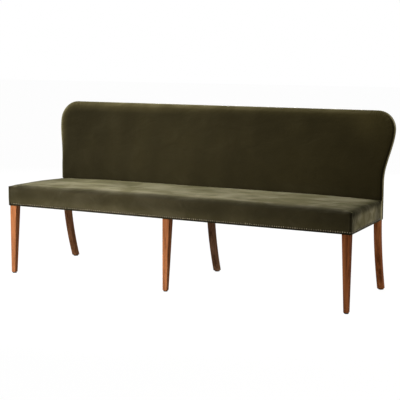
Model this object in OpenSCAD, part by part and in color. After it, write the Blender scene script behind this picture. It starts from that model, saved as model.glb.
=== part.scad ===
// Upholstered dining bench with a tall flared back, six wooden legs and nailhead trim.
// +X runs along the bench, +Y towards the back, +Z up. The origin is on the floor, under the
// middle of the whole bench.

/* [Seat] */
// Length of the seat over its cover, along the front
seat_l = 2000; // [1600:10:2300]
// Depth from the seat's front face to the rear face of the back, at seat height
base_d = 534; // [500:1:600]
// Height of the middle of the seat above the floor
seat_h = 500; // [440:1:540]
// How far each end of the seat draws in from front to back
end_taper = 15.5; // [5:0.5:25]
// How far the top of the seat falls towards its two ends
seat_crown = 12; // [4:1:16]
// How far the top of the seat falls towards the back
seat_fall = 6; // [2:1:10]
// Depth of the seat's rolled front edge
front_roll = 46; // [30:1:60]
// Width of the rolled edge at each end of the seat
end_roll = 26; // [16:1:36]
// Depth of the seat's rolled rear edge
rear_roll = 12; // [8:1:16]
// Height of the seat's plain front face, up to where the roll begins
face_h = 88; // [82:1:94]
// How far the cover is drawn in along the nailheads
draw_in = 1.2; // [0.6:0.1:1.6]
// Radius of the seat's upright corners
corner_r = 12; // [6:1:20]

/* [Back] */
// Height of the top of the back above the seat
back_up = 432; // [380:1:500]
// How far each side of the back lies inside the rear end of the seat
back_in = 6; // [3:0.5:6.5]
// How far each side of the back flares outwards
flare = 38.5; // [30:0.5:50]
// Height above the seat at which the flare begins
flare_up = 90; // [60:1:120]
// Radius of the back's top corners
top_r = 100; // [90:1:110]
// Lean of the back, in millimetres back for each millimetre up
lean_rate = 0.24; // [0.16:0.01:0.3]
// Height above the seat of the middle of the bend from upright to leaning
bend_up = 105; // [90:1:120]
// Length of that bend
bend_l = 100; // [60:2:120]
// Thickness of the upholstered back near its edge
back_t = 48; // [46:1:54]
// How far the front of the back swells out in the middle
back_crown = 10; // [4:1:13]
// How far the front of the back reaches down behind the top of the seat
tuck_down = 20; // [18:1:24]
// Width of the rolled edge round the front of the back
back_roll = 20; // [14:1:24]

/* [Legs] */
// Width of a front leg under the rail
leg_w = 40.5; // [36:0.5:44]
// Width of a front leg at the foot
foot_w = 24; // [20:0.5:30]
// Thickness of the plank that the back legs are sawn from
plank_t = 32; // [28:0.5:36]
// Depth of a back leg under the rail, front to back
back_leg_d = 39.5; // [36:0.5:42]
// Depth of a back leg at the foot
back_foot_d = 31.5; // [26:0.5:36]
// How far a back leg's foot sweeps backwards
sweep = 86.8; // [50:0.2:100]
// How late the sweep comes: 1 is straight, more is later
sweep_pow = 1.64; // [1.3:0.02:2.2]
// Diameter of a glide
glide_d = 19; // [16:0.5:20]
// Height of a glide
glide_h = 5; // [3:0.5:8]
// Diameter of the nail in a glide
glide_nail_d = 3; // [2:0.2:4]
// Length of the nail in a glide above the foot
glide_nail_l = 16; // [10:1:22]

/* [Seat frame] */
// Distance from the rails' underside up to the middle of the seat
seat_deep = 118; // [112:1:140]
// Height of the seat rails
rail_h = 70; // [66:1:74]
// Thickness of every rail, ear and post
rail_t = 25; // [22:0.5:26]
// Height of the cross rail
cross_h = 50; // [44:1:52]
// Distance from the front leg's front face to the seat cover's front face
front_wrap = 4; // [3.8:0.1:5]
// Distance from an end rail's face to the seat cover's end face
end_wrap = 8.5; // [8:0.5:11]
// Length of a corner block along each rail
block_l = 70; // [60:1:80]
// Height of a corner block
block_h = 40; // [36:1:50]
// Height of the corner blocks above the rails' underside
block_up = 15; // [10:1:18]
// Distance of a block's screw from the leg
screw_in = 28; // [24:1:32]
// Shank diameter of the wood screws
screw_d = 4; // [3.5:0.1:4.5]
// Head diameter of the wood screws
screw_head_d = 8; // [7:0.2:9]
// Height of a screw's countersunk head
screw_head_h = 2.5; // [2:0.1:3]
// Length of a screw below its head
screw_l = 38; // [34:1:42]
// Diameter of the dowels
dowel_d = 8; // [7:0.5:9]
// Depth to which a dowel goes into each piece
dowel_in = 25; // [20:1:28]
// Depth to which the cross rail's rear dowels go into the centre leg
cross_dowel_in = 18; // [14:1:20]
// Length of the hole beyond a dowel's end
dowel_room = 1; // [0.5:0.5:2]

/* [Back frame] */
// Height of the lower back rails' underside above the seat
low_rail_up = 10; // [6:1:20]
// Height of the lower back rails
low_rail_h = 60; // [50:1:66]
// Height of the top rail
top_rail_h = 64; // [56:1:70]
// Height above the seat at which the ears begin
ear_up = 145; // [140:1:160]
// Depth to which a dowel goes into an ear
ear_dowel_in = 18; // [14:1:20]
// Distance of the lower ear dowel below the top of the back
ear_dowel_low = 172; // [160:1:180]
// Distance of the upper ear dowel below the top of the back
ear_dowel_top = 80; // [76:1:90]

/* [Coverings] */
// Thickness of the velvet with its backing
cover_t = 1.5; // [1:0.1:1.6]
// Thickness of the wadding on top of the seat
seat_wad_t = 6; // [4:0.5:8]
// Thickness of the wadding on the back
back_wad_t = 3; // [2:0.25:3.5]
// Thickness of the webbing
web_t = 1.2; // [0.8:0.1:1.5]
// Width of the webbing
web_w = 50; // [40:1:60]
// Straps across the seat, on each side of the centre
seat_straps = 8; // [5:1:10]
// Straps along the seat
long_straps = 4; // [3:1:5]
// Upright straps in the back, on each side of the centre
back_straps = 5; // [3:1:8]
// Cross straps in the back
cross_straps = 2; // [1:1:3]
// Thickness of the hessian
hessian_t = 0.8; // [0.5:0.1:1]
// Thickness of the card behind the back
card_t = 1.5; // [1:0.1:2]
// Thickness of the dust cover
dust_t = 0.8; // [0.5:0.1:1]
// Distance of the dust cover's edge from the faces of the rails
dust_in = 6; // [4:1:10]

/* [Nailheads] */
// Diameter of a nailhead
nail_d = 9.5; // [8:0.5:10]
// Height of a nailhead
nail_h = 1.6; // [1.2:0.1:2.4]
// Distance from one nailhead to the next
nail_pitch = 12; // [11:0.5:20]
// Height of the seat's row above the cover's lower edge
nail_up = 8; // [6:0.5:12]
// Distance of the back's row from the rear face
nail_rear = 9; // [7:0.5:14]

/* [Hidden] */

// Clearances: between soft layers, round dowels and screws, and between neighbouring pieces
soft_gap = 0.3;
hole_gap = 0.1;
fit_gap = 0.3;
seat_to_back = 0.5;
// Gap between the wadding and the faces of the seat frame
wrap_gap = 0.2;
// Small overlaps: of a cutting shape past the face that it cuts, and of two joined shapes
past = 1;
join = 0.01;

// Heights above the floor
rail_z = seat_h - seat_deep;
back_h = seat_h + back_up;
flare_z = seat_h + flare_up;
bend_z = seat_h + bend_up;
low_rail_z = seat_h + low_rail_up;
ear_z = seat_h + ear_up;

// Lean of the rear face at height z, as a distance back from its lower, upright part. The bend
// has four flats, which every layer of the back shares
bend_low = bend_z - bend_l/2;
bend_top = bend_z + bend_l/2;
bend_zs = [for (k = [0:4]) bend_low + bend_l*k/4];
bend_flats = [for (z = bend_zs) [z, lean_rate*pow(z - bend_low, 2)/(2*bend_l)]];
function lean(z) = z <= bend_top ? lookup(z, bend_flats) : lean_rate*(z - bend_z);
lean_angle = atan(lean_rate);

// The deepest of the back's top and the back feet sets the overall depth
panel_d = cover_t + card_t;
foot_reach = base_d - panel_d - back_leg_d + sweep + back_foot_d;
overall_d = max(base_d + lean(back_h), foot_reach);
front_y = -overall_d/2;
leg_y = front_y + front_wrap;
rear_y0 = front_y + base_d;
function rear_y(z) = rear_y0 + lean(z);
back_leg_rear = rear_y0 - panel_d;
back_leg_y = back_leg_rear - back_leg_d;
seat_rear = rear_y0 - back_t - seat_to_back;

// Outer faces of the rails and legs
function end_drawn(y) = end_taper*(y - front_y)/(back_leg_y - front_y);
function seat_half(y) = seat_l/2 - end_drawn(y);
function rail_x(y) = seat_half(y) - end_wrap;
leg_x = rail_x(leg_y + leg_w);
back_leg_x = rail_x(back_leg_y);
leg_in_x = leg_x - leg_w;
back_leg_in_x = back_leg_x - plank_t;

// Heights of the layers over the seat rails
rail_top = rail_z + rail_h;
wall_z = rail_z + face_h;
web_z = rail_top + web_t;
hessian_z = web_z + web_t;
foam_z = hessian_z + hessian_t + soft_gap;

// Distances of the back's layers in front of its rear face. The border ends at the front of the
// frame, and the rolled edge begins there
post_front = panel_d + rail_t;
border_d = post_front + soft_gap;
back_web = post_front + web_t;
back_hess = back_web + web_t;
back_foam_in = back_hess + hessian_t + soft_gap;
panel_rim = back_foam_in - soft_gap;
panel_z = seat_h - tuck_down;
border_low_d = back_t - fit_gap;

// Outline of the back in front view
arc_z = back_h - top_r;
back_half = seat_l/2 - end_taper - back_in;
half_max = back_half + flare;
arc_x = half_max - top_r;
function smooth(t) = t <= 0 ? 0 : t >= 1 ? 1 : t*t*(3 - 2*t);
function half_w(z) = z <= arc_z ? back_half + flare*smooth((z - flare_z)/(arc_z - flare_z))
    : arc_x + sqrt(max(0, top_r*top_r - pow(z - arc_z, 2)));
// Heights of the rows between the seat and the round corners, which all outlines share
flare_cells = 5;
mid_zs = concat(bend_zs, [for (k = [1:flare_cells]) bend_top + (arc_z - bend_top)*k/flare_cells]);
mid_cells = len(mid_zs);
arc_steps = 9;
function right_side(off, z0) = concat([[half_w(z0) - off, z0]],
    [for (z = mid_zs) if (z > z0 + 1) [half_w(z) - off, z]],
    [for (k = [1:arc_steps]) let (a = 90*k/arc_steps)
        [arc_x + (top_r - off)*cos(a), arc_z + (top_r - off)*sin(a)]]);
function outline(off, z0) = let (r = right_side(off, z0))
    concat(r, [for (k = [len(r) - 1:-1:0]) [-r[k][0], r[k][1]]]);

// A profile in side view that follows the lean, between two distances from the rear face
function slab_zs(z0, z1) = concat([z0], [for (z = bend_zs) if (z > z0 && z < z1) z], [z1]);
function slab(z0, z1, near, far) = let (zs = slab_zs(z0, z1))
    concat([for (z = zs) [rear_y(z) - far, z]],
        [for (k = [len(zs) - 1:-1:0]) [rear_y(zs[k]) - near, zs[k]]]);

module along_x(x0, x1) translate([x0, 0, 0]) rotate([90, 0, 90]) linear_extrude(x1 - x0) children();
module along_y(y0, y1) translate([0, y1, 0]) rotate([90, 0, 0]) linear_extrude(y1 - y0) children();
module box(low, high) translate(low) cube(high - low);
module both_sides() {
    children();
    mirror([1, 0, 0]) children();
}

// Round pins, for dowels and their holes. The middle of each lies at the joint
module pin_x(p, l, d) translate(p) rotate([0, 90, 0]) cylinder(h = l, d = d, center = true, $fn = 24);
module pin_y(p, l, d) translate(p) rotate([90, 0, 0]) cylinder(h = l, d = d, center = true, $fn = 24);

// Dowels of the seat frame. The two directions take turns in height, so that they miss each other
function rail_level(k) = rail_z + rail_h*(k + 1)/5;
dowel_y = leg_y + rail_t/2;
back_dowel_y = back_leg_rear - rail_t/2;
low_share = 0.25;
high_share = 0.75;
cross_levels = [rail_z + cross_h*low_share, rail_z + cross_h*high_share];
side_dowel_x = leg_x - rail_t/2;
back_side_dowel_x = back_leg_x - rail_t/2;
module front_dowels(d, l) for (k = [0, 2]) pin_x([leg_in_x, dowel_y, rail_level(k)], l, d);
module side_front_dowels(d, l)
    for (k = [1, 3]) pin_y([side_dowel_x, leg_y + leg_w, rail_level(k)], l, d);
module side_back_dowels(d, l)
    for (k = [1, 3]) pin_y([back_side_dowel_x, back_leg_y, rail_level(k)], l, d);
module back_rail_dowels(d, l) for (k = [0, 2]) pin_x([back_leg_in_x, back_dowel_y, rail_level(k)], l, d);
module centre_back_dowels(d, l) for (k = [0, 2]) pin_x([0, back_dowel_y, rail_level(k)], l + plank_t, d);
module cross_front_dowels(d, l) for (z = cross_levels) pin_y([0, leg_y + leg_w, z], l, d);
module cross_back_dowels(d, spare)
    for (z = cross_levels)
        translate([0, (cross_dowel_in - dowel_in)/2, 0])
            pin_y([0, back_leg_y, z], cross_dowel_in + dowel_in + spare, d);
dowel_l = 2*dowel_in;
hole_d = dowel_d + 2*hole_gap;
hole_l = dowel_l + 2*dowel_room;

// Dowels of the back frame
low_levels = [low_rail_z + low_rail_h*low_share, low_rail_z + low_rail_h*high_share];
top_rail_z = back_h - cover_t - fit_gap - top_rail_h;
top_share = 0.62;
top_levels = [top_rail_z + top_rail_h*low_share, top_rail_z + top_rail_h*top_share];
ear_levels = [back_h - ear_dowel_low, back_h - ear_dowel_top];
function frame_mid(z) = rear_y(z) - panel_d - rail_t/2;
module low_outer_dowels(d, l) for (z = low_levels) pin_x([back_leg_in_x, frame_mid(z), z], l, d);
module low_centre_dowels(d, l) for (z = low_levels) pin_x([0, frame_mid(z), z], l + plank_t, d);
module top_outer_dowels(d, l) for (z = top_levels) pin_x([back_leg_in_x, frame_mid(z), z], l, d);
module ear_dowels(d, spare)
    for (z = ear_levels)
        translate([(ear_dowel_in - dowel_in)/2, 0, 0])
            pin_x([back_leg_x, frame_mid(z), z], ear_dowel_in + dowel_in + spare, d);
module top_centre_dowel(d, l)
    translate([0, frame_mid(top_rail_z), top_rail_z])
        rotate([-lean_angle, 0, 0]) cylinder(h = l, d = d, center = true, $fn = 24);

// A wood screw that points along -Z, with its head's flat top at the origin
module screw(grow = 0, bore = 0) {
    translate([0, 0, -screw_head_h])
        cylinder(h = screw_head_h, d1 = screw_d + 2*grow, d2 = screw_head_d + 2*grow, $fn = 24);
    translate([0, 0, -screw_l - screw_head_h])
        cylinder(h = screw_l + join, d = screw_d + 2*grow, $fn = 24);
    if (bore > 0) cylinder(h = bore, d = screw_head_d + 2*grow, $fn = 24);
}
block_mid = rail_z + block_up + block_h/2;
// How deep a screw's head is sunk below the slanting face of its block, and how far the two
// screws of a block lie above and below its middle
sunk = 8;
screw_step = 8;
front_block_y = leg_y + rail_t;
back_block_y = back_leg_rear - rail_t;
front_screw_y = front_block_y + block_l - screw_in + leg_w - rail_t - sunk;
side_screw_x = rail_x(leg_y + leg_w + screw_in) - rail_t - (block_l - screw_in) + sunk;
back_screw_y = back_block_y - (block_l - screw_in) - (back_leg_d - rail_t) + sunk;
back_side_screw_x = rail_x(back_leg_y - screw_in) - rail_t - (block_l - screw_in) + sunk;
module front_block_screws(grow = 0, bore = 0) {
    translate([leg_in_x - screw_in, front_screw_y, block_mid + screw_step])
        rotate([-90, 0, 0]) screw(grow, bore);
    translate([side_screw_x, leg_y + leg_w + screw_in, block_mid - screw_step])
        rotate([0, -90, 0]) screw(grow, bore);
}
module back_block_screws(grow = 0, bore = 0) {
    translate([back_leg_in_x - screw_in, back_screw_y, block_mid + screw_step])
        rotate([90, 0, 0]) screw(grow, bore);
    translate([back_side_screw_x, back_leg_y - screw_in, block_mid - screw_step])
        rotate([0, -90, 0]) screw(grow, bore);
}
// Screws that hold the lapped head of the centre leg to the front rail, and the wood left in
// front of their tips
tip_wood = 6;
lap_screw_l = leg_w - tip_wood;
module lap_screws(grow = 0)
    for (x = [-1, 1])
        translate([x*leg_w/4, leg_y + leg_w, rail_top - (rail_h - cross_h)/2]) rotate([-90, 0, 0]) {
            translate([0, 0, -screw_head_h])
                cylinder(h = screw_head_h, d1 = screw_d + 2*grow, d2 = screw_head_d + 2*grow, $fn = 24);
            translate([0, 0, -lap_screw_l])
                cylinder(h = lap_screw_l - screw_head_h + join, d = screw_d + 2*grow, $fn = 24);
        }

// Glides, with a small bevel round the lower edge
glide_bevel = 1.2;
module glide_nail_holes(x, y) translate([x, y, glide_h])
    cylinder(h = 2*glide_nail_l + 2*dowel_room, d = glide_nail_d + 2*hole_gap, center = true, $fn = 24);
front_foot_x = leg_x - foot_w/2;
front_foot_y = leg_y + foot_w/2;
back_foot_x = back_leg_x - plank_t/2;
back_foot_y = back_leg_y + sweep + back_foot_d/2;
centre_foot_x = -leg_w/2 + foot_w/2;
feet = [[-front_foot_x, front_foot_y], [centre_foot_x, front_foot_y], [front_foot_x, front_foot_y],
    [-back_foot_x, back_foot_y], [0, back_foot_y], [back_foot_x, back_foot_y]];
module foot_glides()
    color([0.13, 0.12, 0.11])
        for (p = feet) translate([p[0], p[1], 0]) difference() {
            union() {
                cylinder(h = glide_bevel, d1 = glide_d - 2*glide_bevel, d2 = glide_d, $fn = 40);
                translate([0, 0, glide_bevel]) cylinder(h = glide_h - glide_bevel, d = glide_d, $fn = 40);
            }
            translate([0, 0, glide_h/2]) cylinder(h = glide_h, d = glide_nail_d + 2*hole_gap, $fn = 24);
        }
module glide_nails()
    color([0.6, 0.6, 0.62])
        for (p = feet) translate([p[0], p[1], glide_h/2])
            cylinder(h = glide_h/2 + glide_nail_l, d = glide_nail_d, $fn = 24);

// A front leg seen from its outer front corner: straight there, tapered on the two inner faces
function leg_profile(top) = [[0, glide_h], [foot_w, glide_h], [leg_w, rail_z], [leg_w, top], [0, top]];
module leg_blank() intersection() {
    along_y(0, leg_w) polygon(leg_profile(rail_top));
    along_x(0, leg_w) polygon(leg_profile(rail_top));
}
module front_leg_solid() difference() {
    translate([leg_x, leg_y, 0]) mirror([1, 0, 0]) leg_blank();
    front_dowels(hole_d, hole_l);
    side_front_dowels(hole_d, hole_l);
    glide_nail_holes(front_foot_x, front_foot_y);
}
module front_leg_right() color([0.55, 0.33, 0.19]) front_leg_solid();
module front_leg_left() color([0.55, 0.33, 0.19]) mirror([1, 0, 0]) front_leg_solid();
module front_leg_centre()
    color([0.55, 0.33, 0.19]) difference() {
        translate([-leg_w/2, leg_y, 0]) leg_blank();
        box([-leg_w, leg_y - past, rail_z], [leg_w, leg_y + rail_t, rail_top + past]);
        cross_front_dowels(hole_d, hole_l);
        lap_screws(hole_gap);
        glide_nail_holes(centre_foot_x, front_foot_y);
    }

// Side view of a back leg and of the post that it becomes
leg_steps = 12;
post_steps = concat([panel_z], [for (z = bend_zs) if (z > panel_z) z]);
function sweep_y(z) = sweep*pow((rail_z - z)/(rail_z - glide_h), sweep_pow);
function leg_depth(z) = back_leg_d + (back_foot_d - back_leg_d)*(rail_z - z)/(rail_z - glide_h);
function back_leg_profile(top) = let (
        zs = [for (k = [0:leg_steps]) glide_h + (rail_z - glide_h)*k/leg_steps],
        posts = concat([for (z = post_steps) if (z < top - 1) z], [top]))
    concat([for (z = zs) [back_leg_y + sweep_y(z), z]],
        [[back_leg_y, rail_top]],
        [for (z = posts) [rear_y(z) - post_front, z]],
        [for (k = [len(posts) - 1:-1:0]) [rear_y(posts[k]) - panel_d, posts[k]]],
        [for (k = [leg_steps:-1:0]) [back_leg_y + sweep_y(zs[k]) + leg_depth(zs[k]), zs[k]]]);
frame_off = cover_t + fit_gap;
module back_leg_solid() difference() {
    intersection() {
        along_x(back_leg_in_x, back_leg_x) polygon(back_leg_profile(back_h - frame_off));
        along_y(front_y, overall_d) polygon(concat([[0, 0]],
            [[back_leg_x + past, 0]], right_side(frame_off, rail_z), [[0, back_h - frame_off]]));
    }
    side_back_dowels(hole_d, hole_l);
    back_rail_dowels(hole_d, hole_l);
    low_outer_dowels(hole_d, hole_l);
    top_outer_dowels(hole_d, hole_l);
    ear_dowels(hole_d, 2*dowel_room);
    glide_nail_holes(back_foot_x, back_foot_y);
}
module back_leg_right() color([0.5, 0.3, 0.17]) back_leg_solid();
module back_leg_left() color([0.5, 0.3, 0.17]) mirror([1, 0, 0]) back_leg_solid();
module back_leg_centre()
    color([0.5, 0.3, 0.17]) difference() {
        along_x(-plank_t/2, plank_t/2) polygon(back_leg_profile(top_rail_z));
        cross_back_dowels(hole_d, 2*dowel_room);
        centre_back_dowels(hole_d, hole_l);
        low_centre_dowels(hole_d, hole_l);
        top_centre_dowel(hole_d, hole_l);
        glide_nail_holes(0, back_foot_y);
    }

// Seat rails
beech = [0.82, 0.68, 0.48];
module front_rail()
    color(beech) difference() {
        box([-leg_in_x, leg_y, rail_z], [leg_in_x, leg_y + rail_t, rail_top]);
        both_sides() front_dowels(hole_d, hole_l);
        both_sides() front_block_screws(hole_gap);
        cross_front_dowels(hole_d, hole_l);
        lap_screws(hole_gap);
    }
module back_rail_solid() difference() {
    box([plank_t/2, back_leg_rear - rail_t, rail_z], [back_leg_in_x, back_leg_rear, rail_top]);
    back_rail_dowels(hole_d, hole_l);
    centre_back_dowels(hole_d, hole_l);
    back_block_screws(hole_gap);
}
module back_rail_right() color(beech) back_rail_solid();
module back_rail_left() color(beech) mirror([1, 0, 0]) back_rail_solid();
module side_rail_solid() difference() {
    translate([0, 0, rail_z]) linear_extrude(rail_h) polygon([
        [leg_x, leg_y + leg_w], [back_leg_x, back_leg_y],
        [back_leg_x - rail_t, back_leg_y], [leg_x - rail_t, leg_y + leg_w]]);
    side_front_dowels(hole_d, hole_l);
    side_back_dowels(hole_d, hole_l);
    front_block_screws(hole_gap);
    back_block_screws(hole_gap);
}
module side_rail_right() color(beech) side_rail_solid();
module side_rail_left() color(beech) mirror([1, 0, 0]) side_rail_solid();
module cross_rail()
    color(beech) difference() {
        box([-rail_t/2, leg_y + leg_w, rail_z], [rail_t/2, back_leg_y, rail_z + cross_h]);
        cross_front_dowels(hole_d, hole_l);
        cross_back_dowels(hole_d, 2*dowel_room);
    }

// Corner blocks, fitted round the inner corners of the legs
block_z = rail_z + block_up;
module front_block() difference() {
    translate([0, 0, block_z]) linear_extrude(block_h) polygon([
        [leg_in_x - block_l, front_block_y], [leg_in_x - fit_gap, front_block_y],
        [leg_in_x - fit_gap, leg_y + leg_w + fit_gap],
        [rail_x(leg_y + leg_w + fit_gap) - rail_t, leg_y + leg_w + fit_gap],
        [rail_x(leg_y + leg_w + block_l) - rail_t, leg_y + leg_w + block_l]]);
    front_block_screws(hole_gap, block_l);
}
module back_block() difference() {
    translate([0, 0, block_z]) linear_extrude(block_h) polygon([
        [back_leg_in_x - block_l, back_block_y], [back_leg_in_x - fit_gap, back_block_y],
        [back_leg_in_x - fit_gap, back_leg_y - fit_gap],
        [rail_x(back_leg_y - fit_gap) - rail_t, back_leg_y - fit_gap],
        [rail_x(back_leg_y - block_l) - rail_t, back_leg_y - block_l]]);
    back_block_screws(hole_gap, block_l);
}
module corner_blocks()
    color([0.78, 0.62, 0.42]) both_sides() {
        front_block();
        back_block();
    }
module frame_screws()
    color([0.72, 0.66, 0.45]) {
        both_sides() front_block_screws();
        both_sides() back_block_screws();
        lap_screws();
    }
module seat_dowels()
    color([0.86, 0.74, 0.55]) {
        both_sides() {
            front_dowels(dowel_d, dowel_l);
            side_front_dowels(dowel_d, dowel_l);
            side_back_dowels(dowel_d, dowel_l);
            back_rail_dowels(dowel_d, dowel_l);
        }
        centre_back_dowels(dowel_d, dowel_l);
        cross_front_dowels(dowel_d, dowel_l);
        cross_back_dowels(dowel_d, 0);
    }

// Cuts in a sheet round the three back legs
module back_leg_cuts() {
    both_sides() translate([back_leg_in_x - fit_gap, back_leg_y - fit_gap])
        square([plank_t*2, leg_w*2]);
    translate([-plank_t/2 - fit_gap, back_leg_y - fit_gap]) square([plank_t + 2*fit_gap, leg_w*2]);
}

// Webbing and hessian over the seat rails
strap_in = 4;
module seat_webbing_along()
    color([0.45, 0.4, 0.34]) for (k = [1:long_straps]) {
        y = leg_y + leg_w + (back_leg_y - leg_y - leg_w)*k/(long_straps + 1);
        box([-rail_x(y) + strap_in, y - web_w/2, rail_top], [rail_x(y) - strap_in, y + web_w/2, web_z]);
    }
module seat_webbing_across()
    color([0.5, 0.45, 0.38]) both_sides() for (k = [1:seat_straps]) {
        x = plank_t/2 + (back_leg_in_x - plank_t/2)*(k - 0.5)/seat_straps;
        box([x - web_w/2, leg_y + strap_in, web_z],
            [x + web_w/2, back_leg_rear - strap_in, hessian_z]);
    }
// Outline in plan of a sheet over the seat frame, set in from the rails' faces
function seat_sheet(off, rear) = [
    [-leg_x + off, leg_y + off], [leg_x - off, leg_y + off],
    [rail_x(rear) - off, rear], [-rail_x(rear) + off, rear]];
module seat_hessian()
    color([0.66, 0.56, 0.4]) translate([0, 0, hessian_z]) linear_extrude(hessian_t) difference() {
        polygon(seat_sheet(strap_in/2, back_leg_rear - strap_in/2));
        back_leg_cuts();
    }
module dust_cover()
    color([0.08, 0.08, 0.08]) translate([0, 0, rail_z - dust_t]) linear_extrude(dust_t) difference() {
        polygon(seat_sheet(dust_in, back_leg_rear - dust_in));
        both_sides() translate([leg_in_x - fit_gap, leg_y]) square(leg_w + 2*fit_gap);
        translate([-leg_w/2 - fit_gap, leg_y]) square(leg_w + 2*fit_gap);
        back_leg_cuts();
    }

// Faces of a soft form: a grid of points, its edge ring carried down in rings, and the same inside.
// A quad is cut from a to c or, when turned, from b to d, so that each cut next to a corner of the
// form ends in that corner
function quad(a, b, c, d, turned = false) = turned ? [[a, b, d], [b, c, d]] : [[a, b, c], [a, c, d]];
function grid_faces(nx, ny, base, out) = [for (i = [0:nx - 1]) for (j = [0:ny - 1])
    let (a = base + i*(ny + 1) + j, b = a + 1, c = b + ny + 1, d = a + ny + 1,
        turned = (i < nx/2) != (j < ny/2))
    for (t = out ? quad(a, b, c, d, turned) : quad(a, d, c, b, turned)) t];
function edge_ij(nx, ny) = concat([for (i = [0:nx - 1]) [i, 0]], [for (j = [0:ny - 1]) [nx, j]],
    [for (i = [nx:-1:1]) [i, ny]], [for (j = [ny:-1:1]) [0, j]]);
function edge_ids(nx, ny, base) = [for (e = edge_ij(nx, ny)) base + e[0]*(ny + 1) + e[1]];
function ring_ids(n, base) = [for (k = [0:n - 1]) base + k];
// In the first half of each side of a ring, whose sides have nx and ny cells in turn
function early(k, nx, ny) = let (m = k % (nx + ny)) m < nx ? m < nx/2 : m - nx < ny/2;
function band(nx, ny, top, low, out) = let (n = len(top)) [for (k = [0:n - 1])
    let (a = top[k], b = top[(k + 1) % n], c = low[(k + 1) % n], d = low[k],
        turned = early(k, nx, ny))
    for (t = out ? quad(a, b, c, d, turned) : quad(a, d, c, b, turned)) t];
function bands(nx, ny, rings, out) = len(rings) < 2 ? []
    : [for (k = [0:len(rings) - 2]) for (t = band(nx, ny, rings[k], rings[k + 1], out)) t];

// A closed skin from an outer and an inner sheet. Each sheet is its grid points, then its rings
module skin(nx, ny, outer, outer_rings, inner, inner_rings) {
    np = (nx + 1)*(ny + 1);
    nb = 2*(nx + ny);
    no = len(outer_rings);
    ni = len(inner_rings);
    inner_base = np + no*nb;
    rings_out = concat([edge_ids(nx, ny, 0)],
        no == 0 ? [] : [for (k = [0:no - 1]) ring_ids(nb, np + k*nb)]);
    rings_in = concat([edge_ids(nx, ny, inner_base)],
        ni == 0 ? [] : [for (k = [0:ni - 1]) ring_ids(nb, inner_base + np + k*nb)]);
    points = concat(outer, [for (r = outer_rings) for (p = r) p],
        inner, [for (r = inner_rings) for (p = r) p]);
    faces = concat(band(nx, ny, rings_out[no], rings_in[ni], true),
        grid_faces(nx, ny, 0, true), bands(nx, ny, rings_out, true),
        grid_faces(nx, ny, inner_base, false), bands(nx, ny, rings_in, false));
    polyhedron(points, faces, convexity = 6);
}

// Stations across a form: close together on the rolled edges, wider in the middle
function roll_up(d, r) = d >= r ? 1 : sqrt(max(0, 1 - pow(1 - d/r, 2)));
function station(k, n_roll, roll, n_mid, span, bias) = k <= n_roll ? roll*(1 - cos(90*k/n_roll))
    : roll + (span - roll)*pow((k - n_roll)/n_mid, bias);

// The seat's form. A layer is set in by [front, end, top, rear]
end_cells = 3;
half_cells = 5;
seat_nx = 2*(end_cells + half_cells);
front_cells = 3;
deep_cells = 4;
rear_cells = 2;
// How strongly the stations along a form crowd towards its ends
seat_station_pow = 1.5;
back_station_pow = 1.3;
seat_ny = front_cells + deep_cells + rear_cells;
function seat_depth_at(j, depth) = j <= front_cells ? front_roll*(1 - cos(90*j/front_cells))
    : j >= seat_ny - rear_cells ? depth - rear_roll*(1 - cos(90*(seat_ny - j)/rear_cells))
    : front_roll + (depth - front_roll - rear_roll)*(j - front_cells)/deep_cells;
// Rounds the corners in plan: a square patch of side r is bent into a quarter disc
function corner_bend(a, b, r) = let (p = max(0, 1 - a/r), q = max(0, 1 - b/r))
    r*p*(1 - sqrt(1 - q*q/2));
function seat_plan(i, j, in) = let (
        depth = seat_rear - front_y - in[0] - in[3],
        e = seat_depth_at(j, depth),
        y = front_y + in[0] + e,
        half = seat_half(y) - in[1],
        k = min(i, seat_nx - i),
        d = station(k, end_cells, end_roll, half_cells, half, seat_station_pow),
        side = i < seat_nx/2 ? -1 : 1,
        f = min(e, depth - e),
        toward = e < depth/2 ? 1 : -1,
        r = max(join, corner_r - in[0] - in[1]))
    [side*(half - d - corner_bend(d, f, r)), y + toward*corner_bend(f, d, r), d, e, depth - e, half];
// The line, this far behind the front face, along which the top of the seat is highest
peak_in = 120;
peak_y = front_y + peak_in;
function seat_top(x, y, half) = seat_h - seat_crown*pow(abs(x)/half, 5)
    - seat_fall*pow(max(0, y - peak_y)/(seat_rear - peak_y), 2);
function seat_point(i, j, in) = let (p = seat_plan(i, j, in),
        lift = roll_up(p[2], end_roll)*roll_up(p[3], front_roll)*roll_up(p[4], rear_roll))
    [p[0], p[1], wall_z + (seat_top(p[0], p[1], p[5]) - in[2] - wall_z)*lift];
function seat_grid(in) = [for (i = [0:seat_nx]) for (j = [0:seat_ny]) seat_point(i, j, in)];
// A ring of the seat's faces at a share t of the height from the lower edge to the roll
function seat_ring(in, t, low, drawn) = [for (e = edge_ij(seat_nx, seat_ny)) let (
        across = e[1] == seat_ny && e[0] > 0 && e[0] < seat_nx,
        p = seat_plan(e[0], e[1], in + [drawn, drawn, 0, 0]),
        foot = across ? foam_z : low)
    [p[0], p[1], foot + (wall_z - foot)*t]];
full_share = 0.6;
drawn_share = 0.25;
function seat_rings(in, low, drawn) = [seat_ring(in, full_share, low, 0),
    seat_ring(in, drawn_share, low, drawn), seat_ring(in, 0, low, drawn)];

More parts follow.
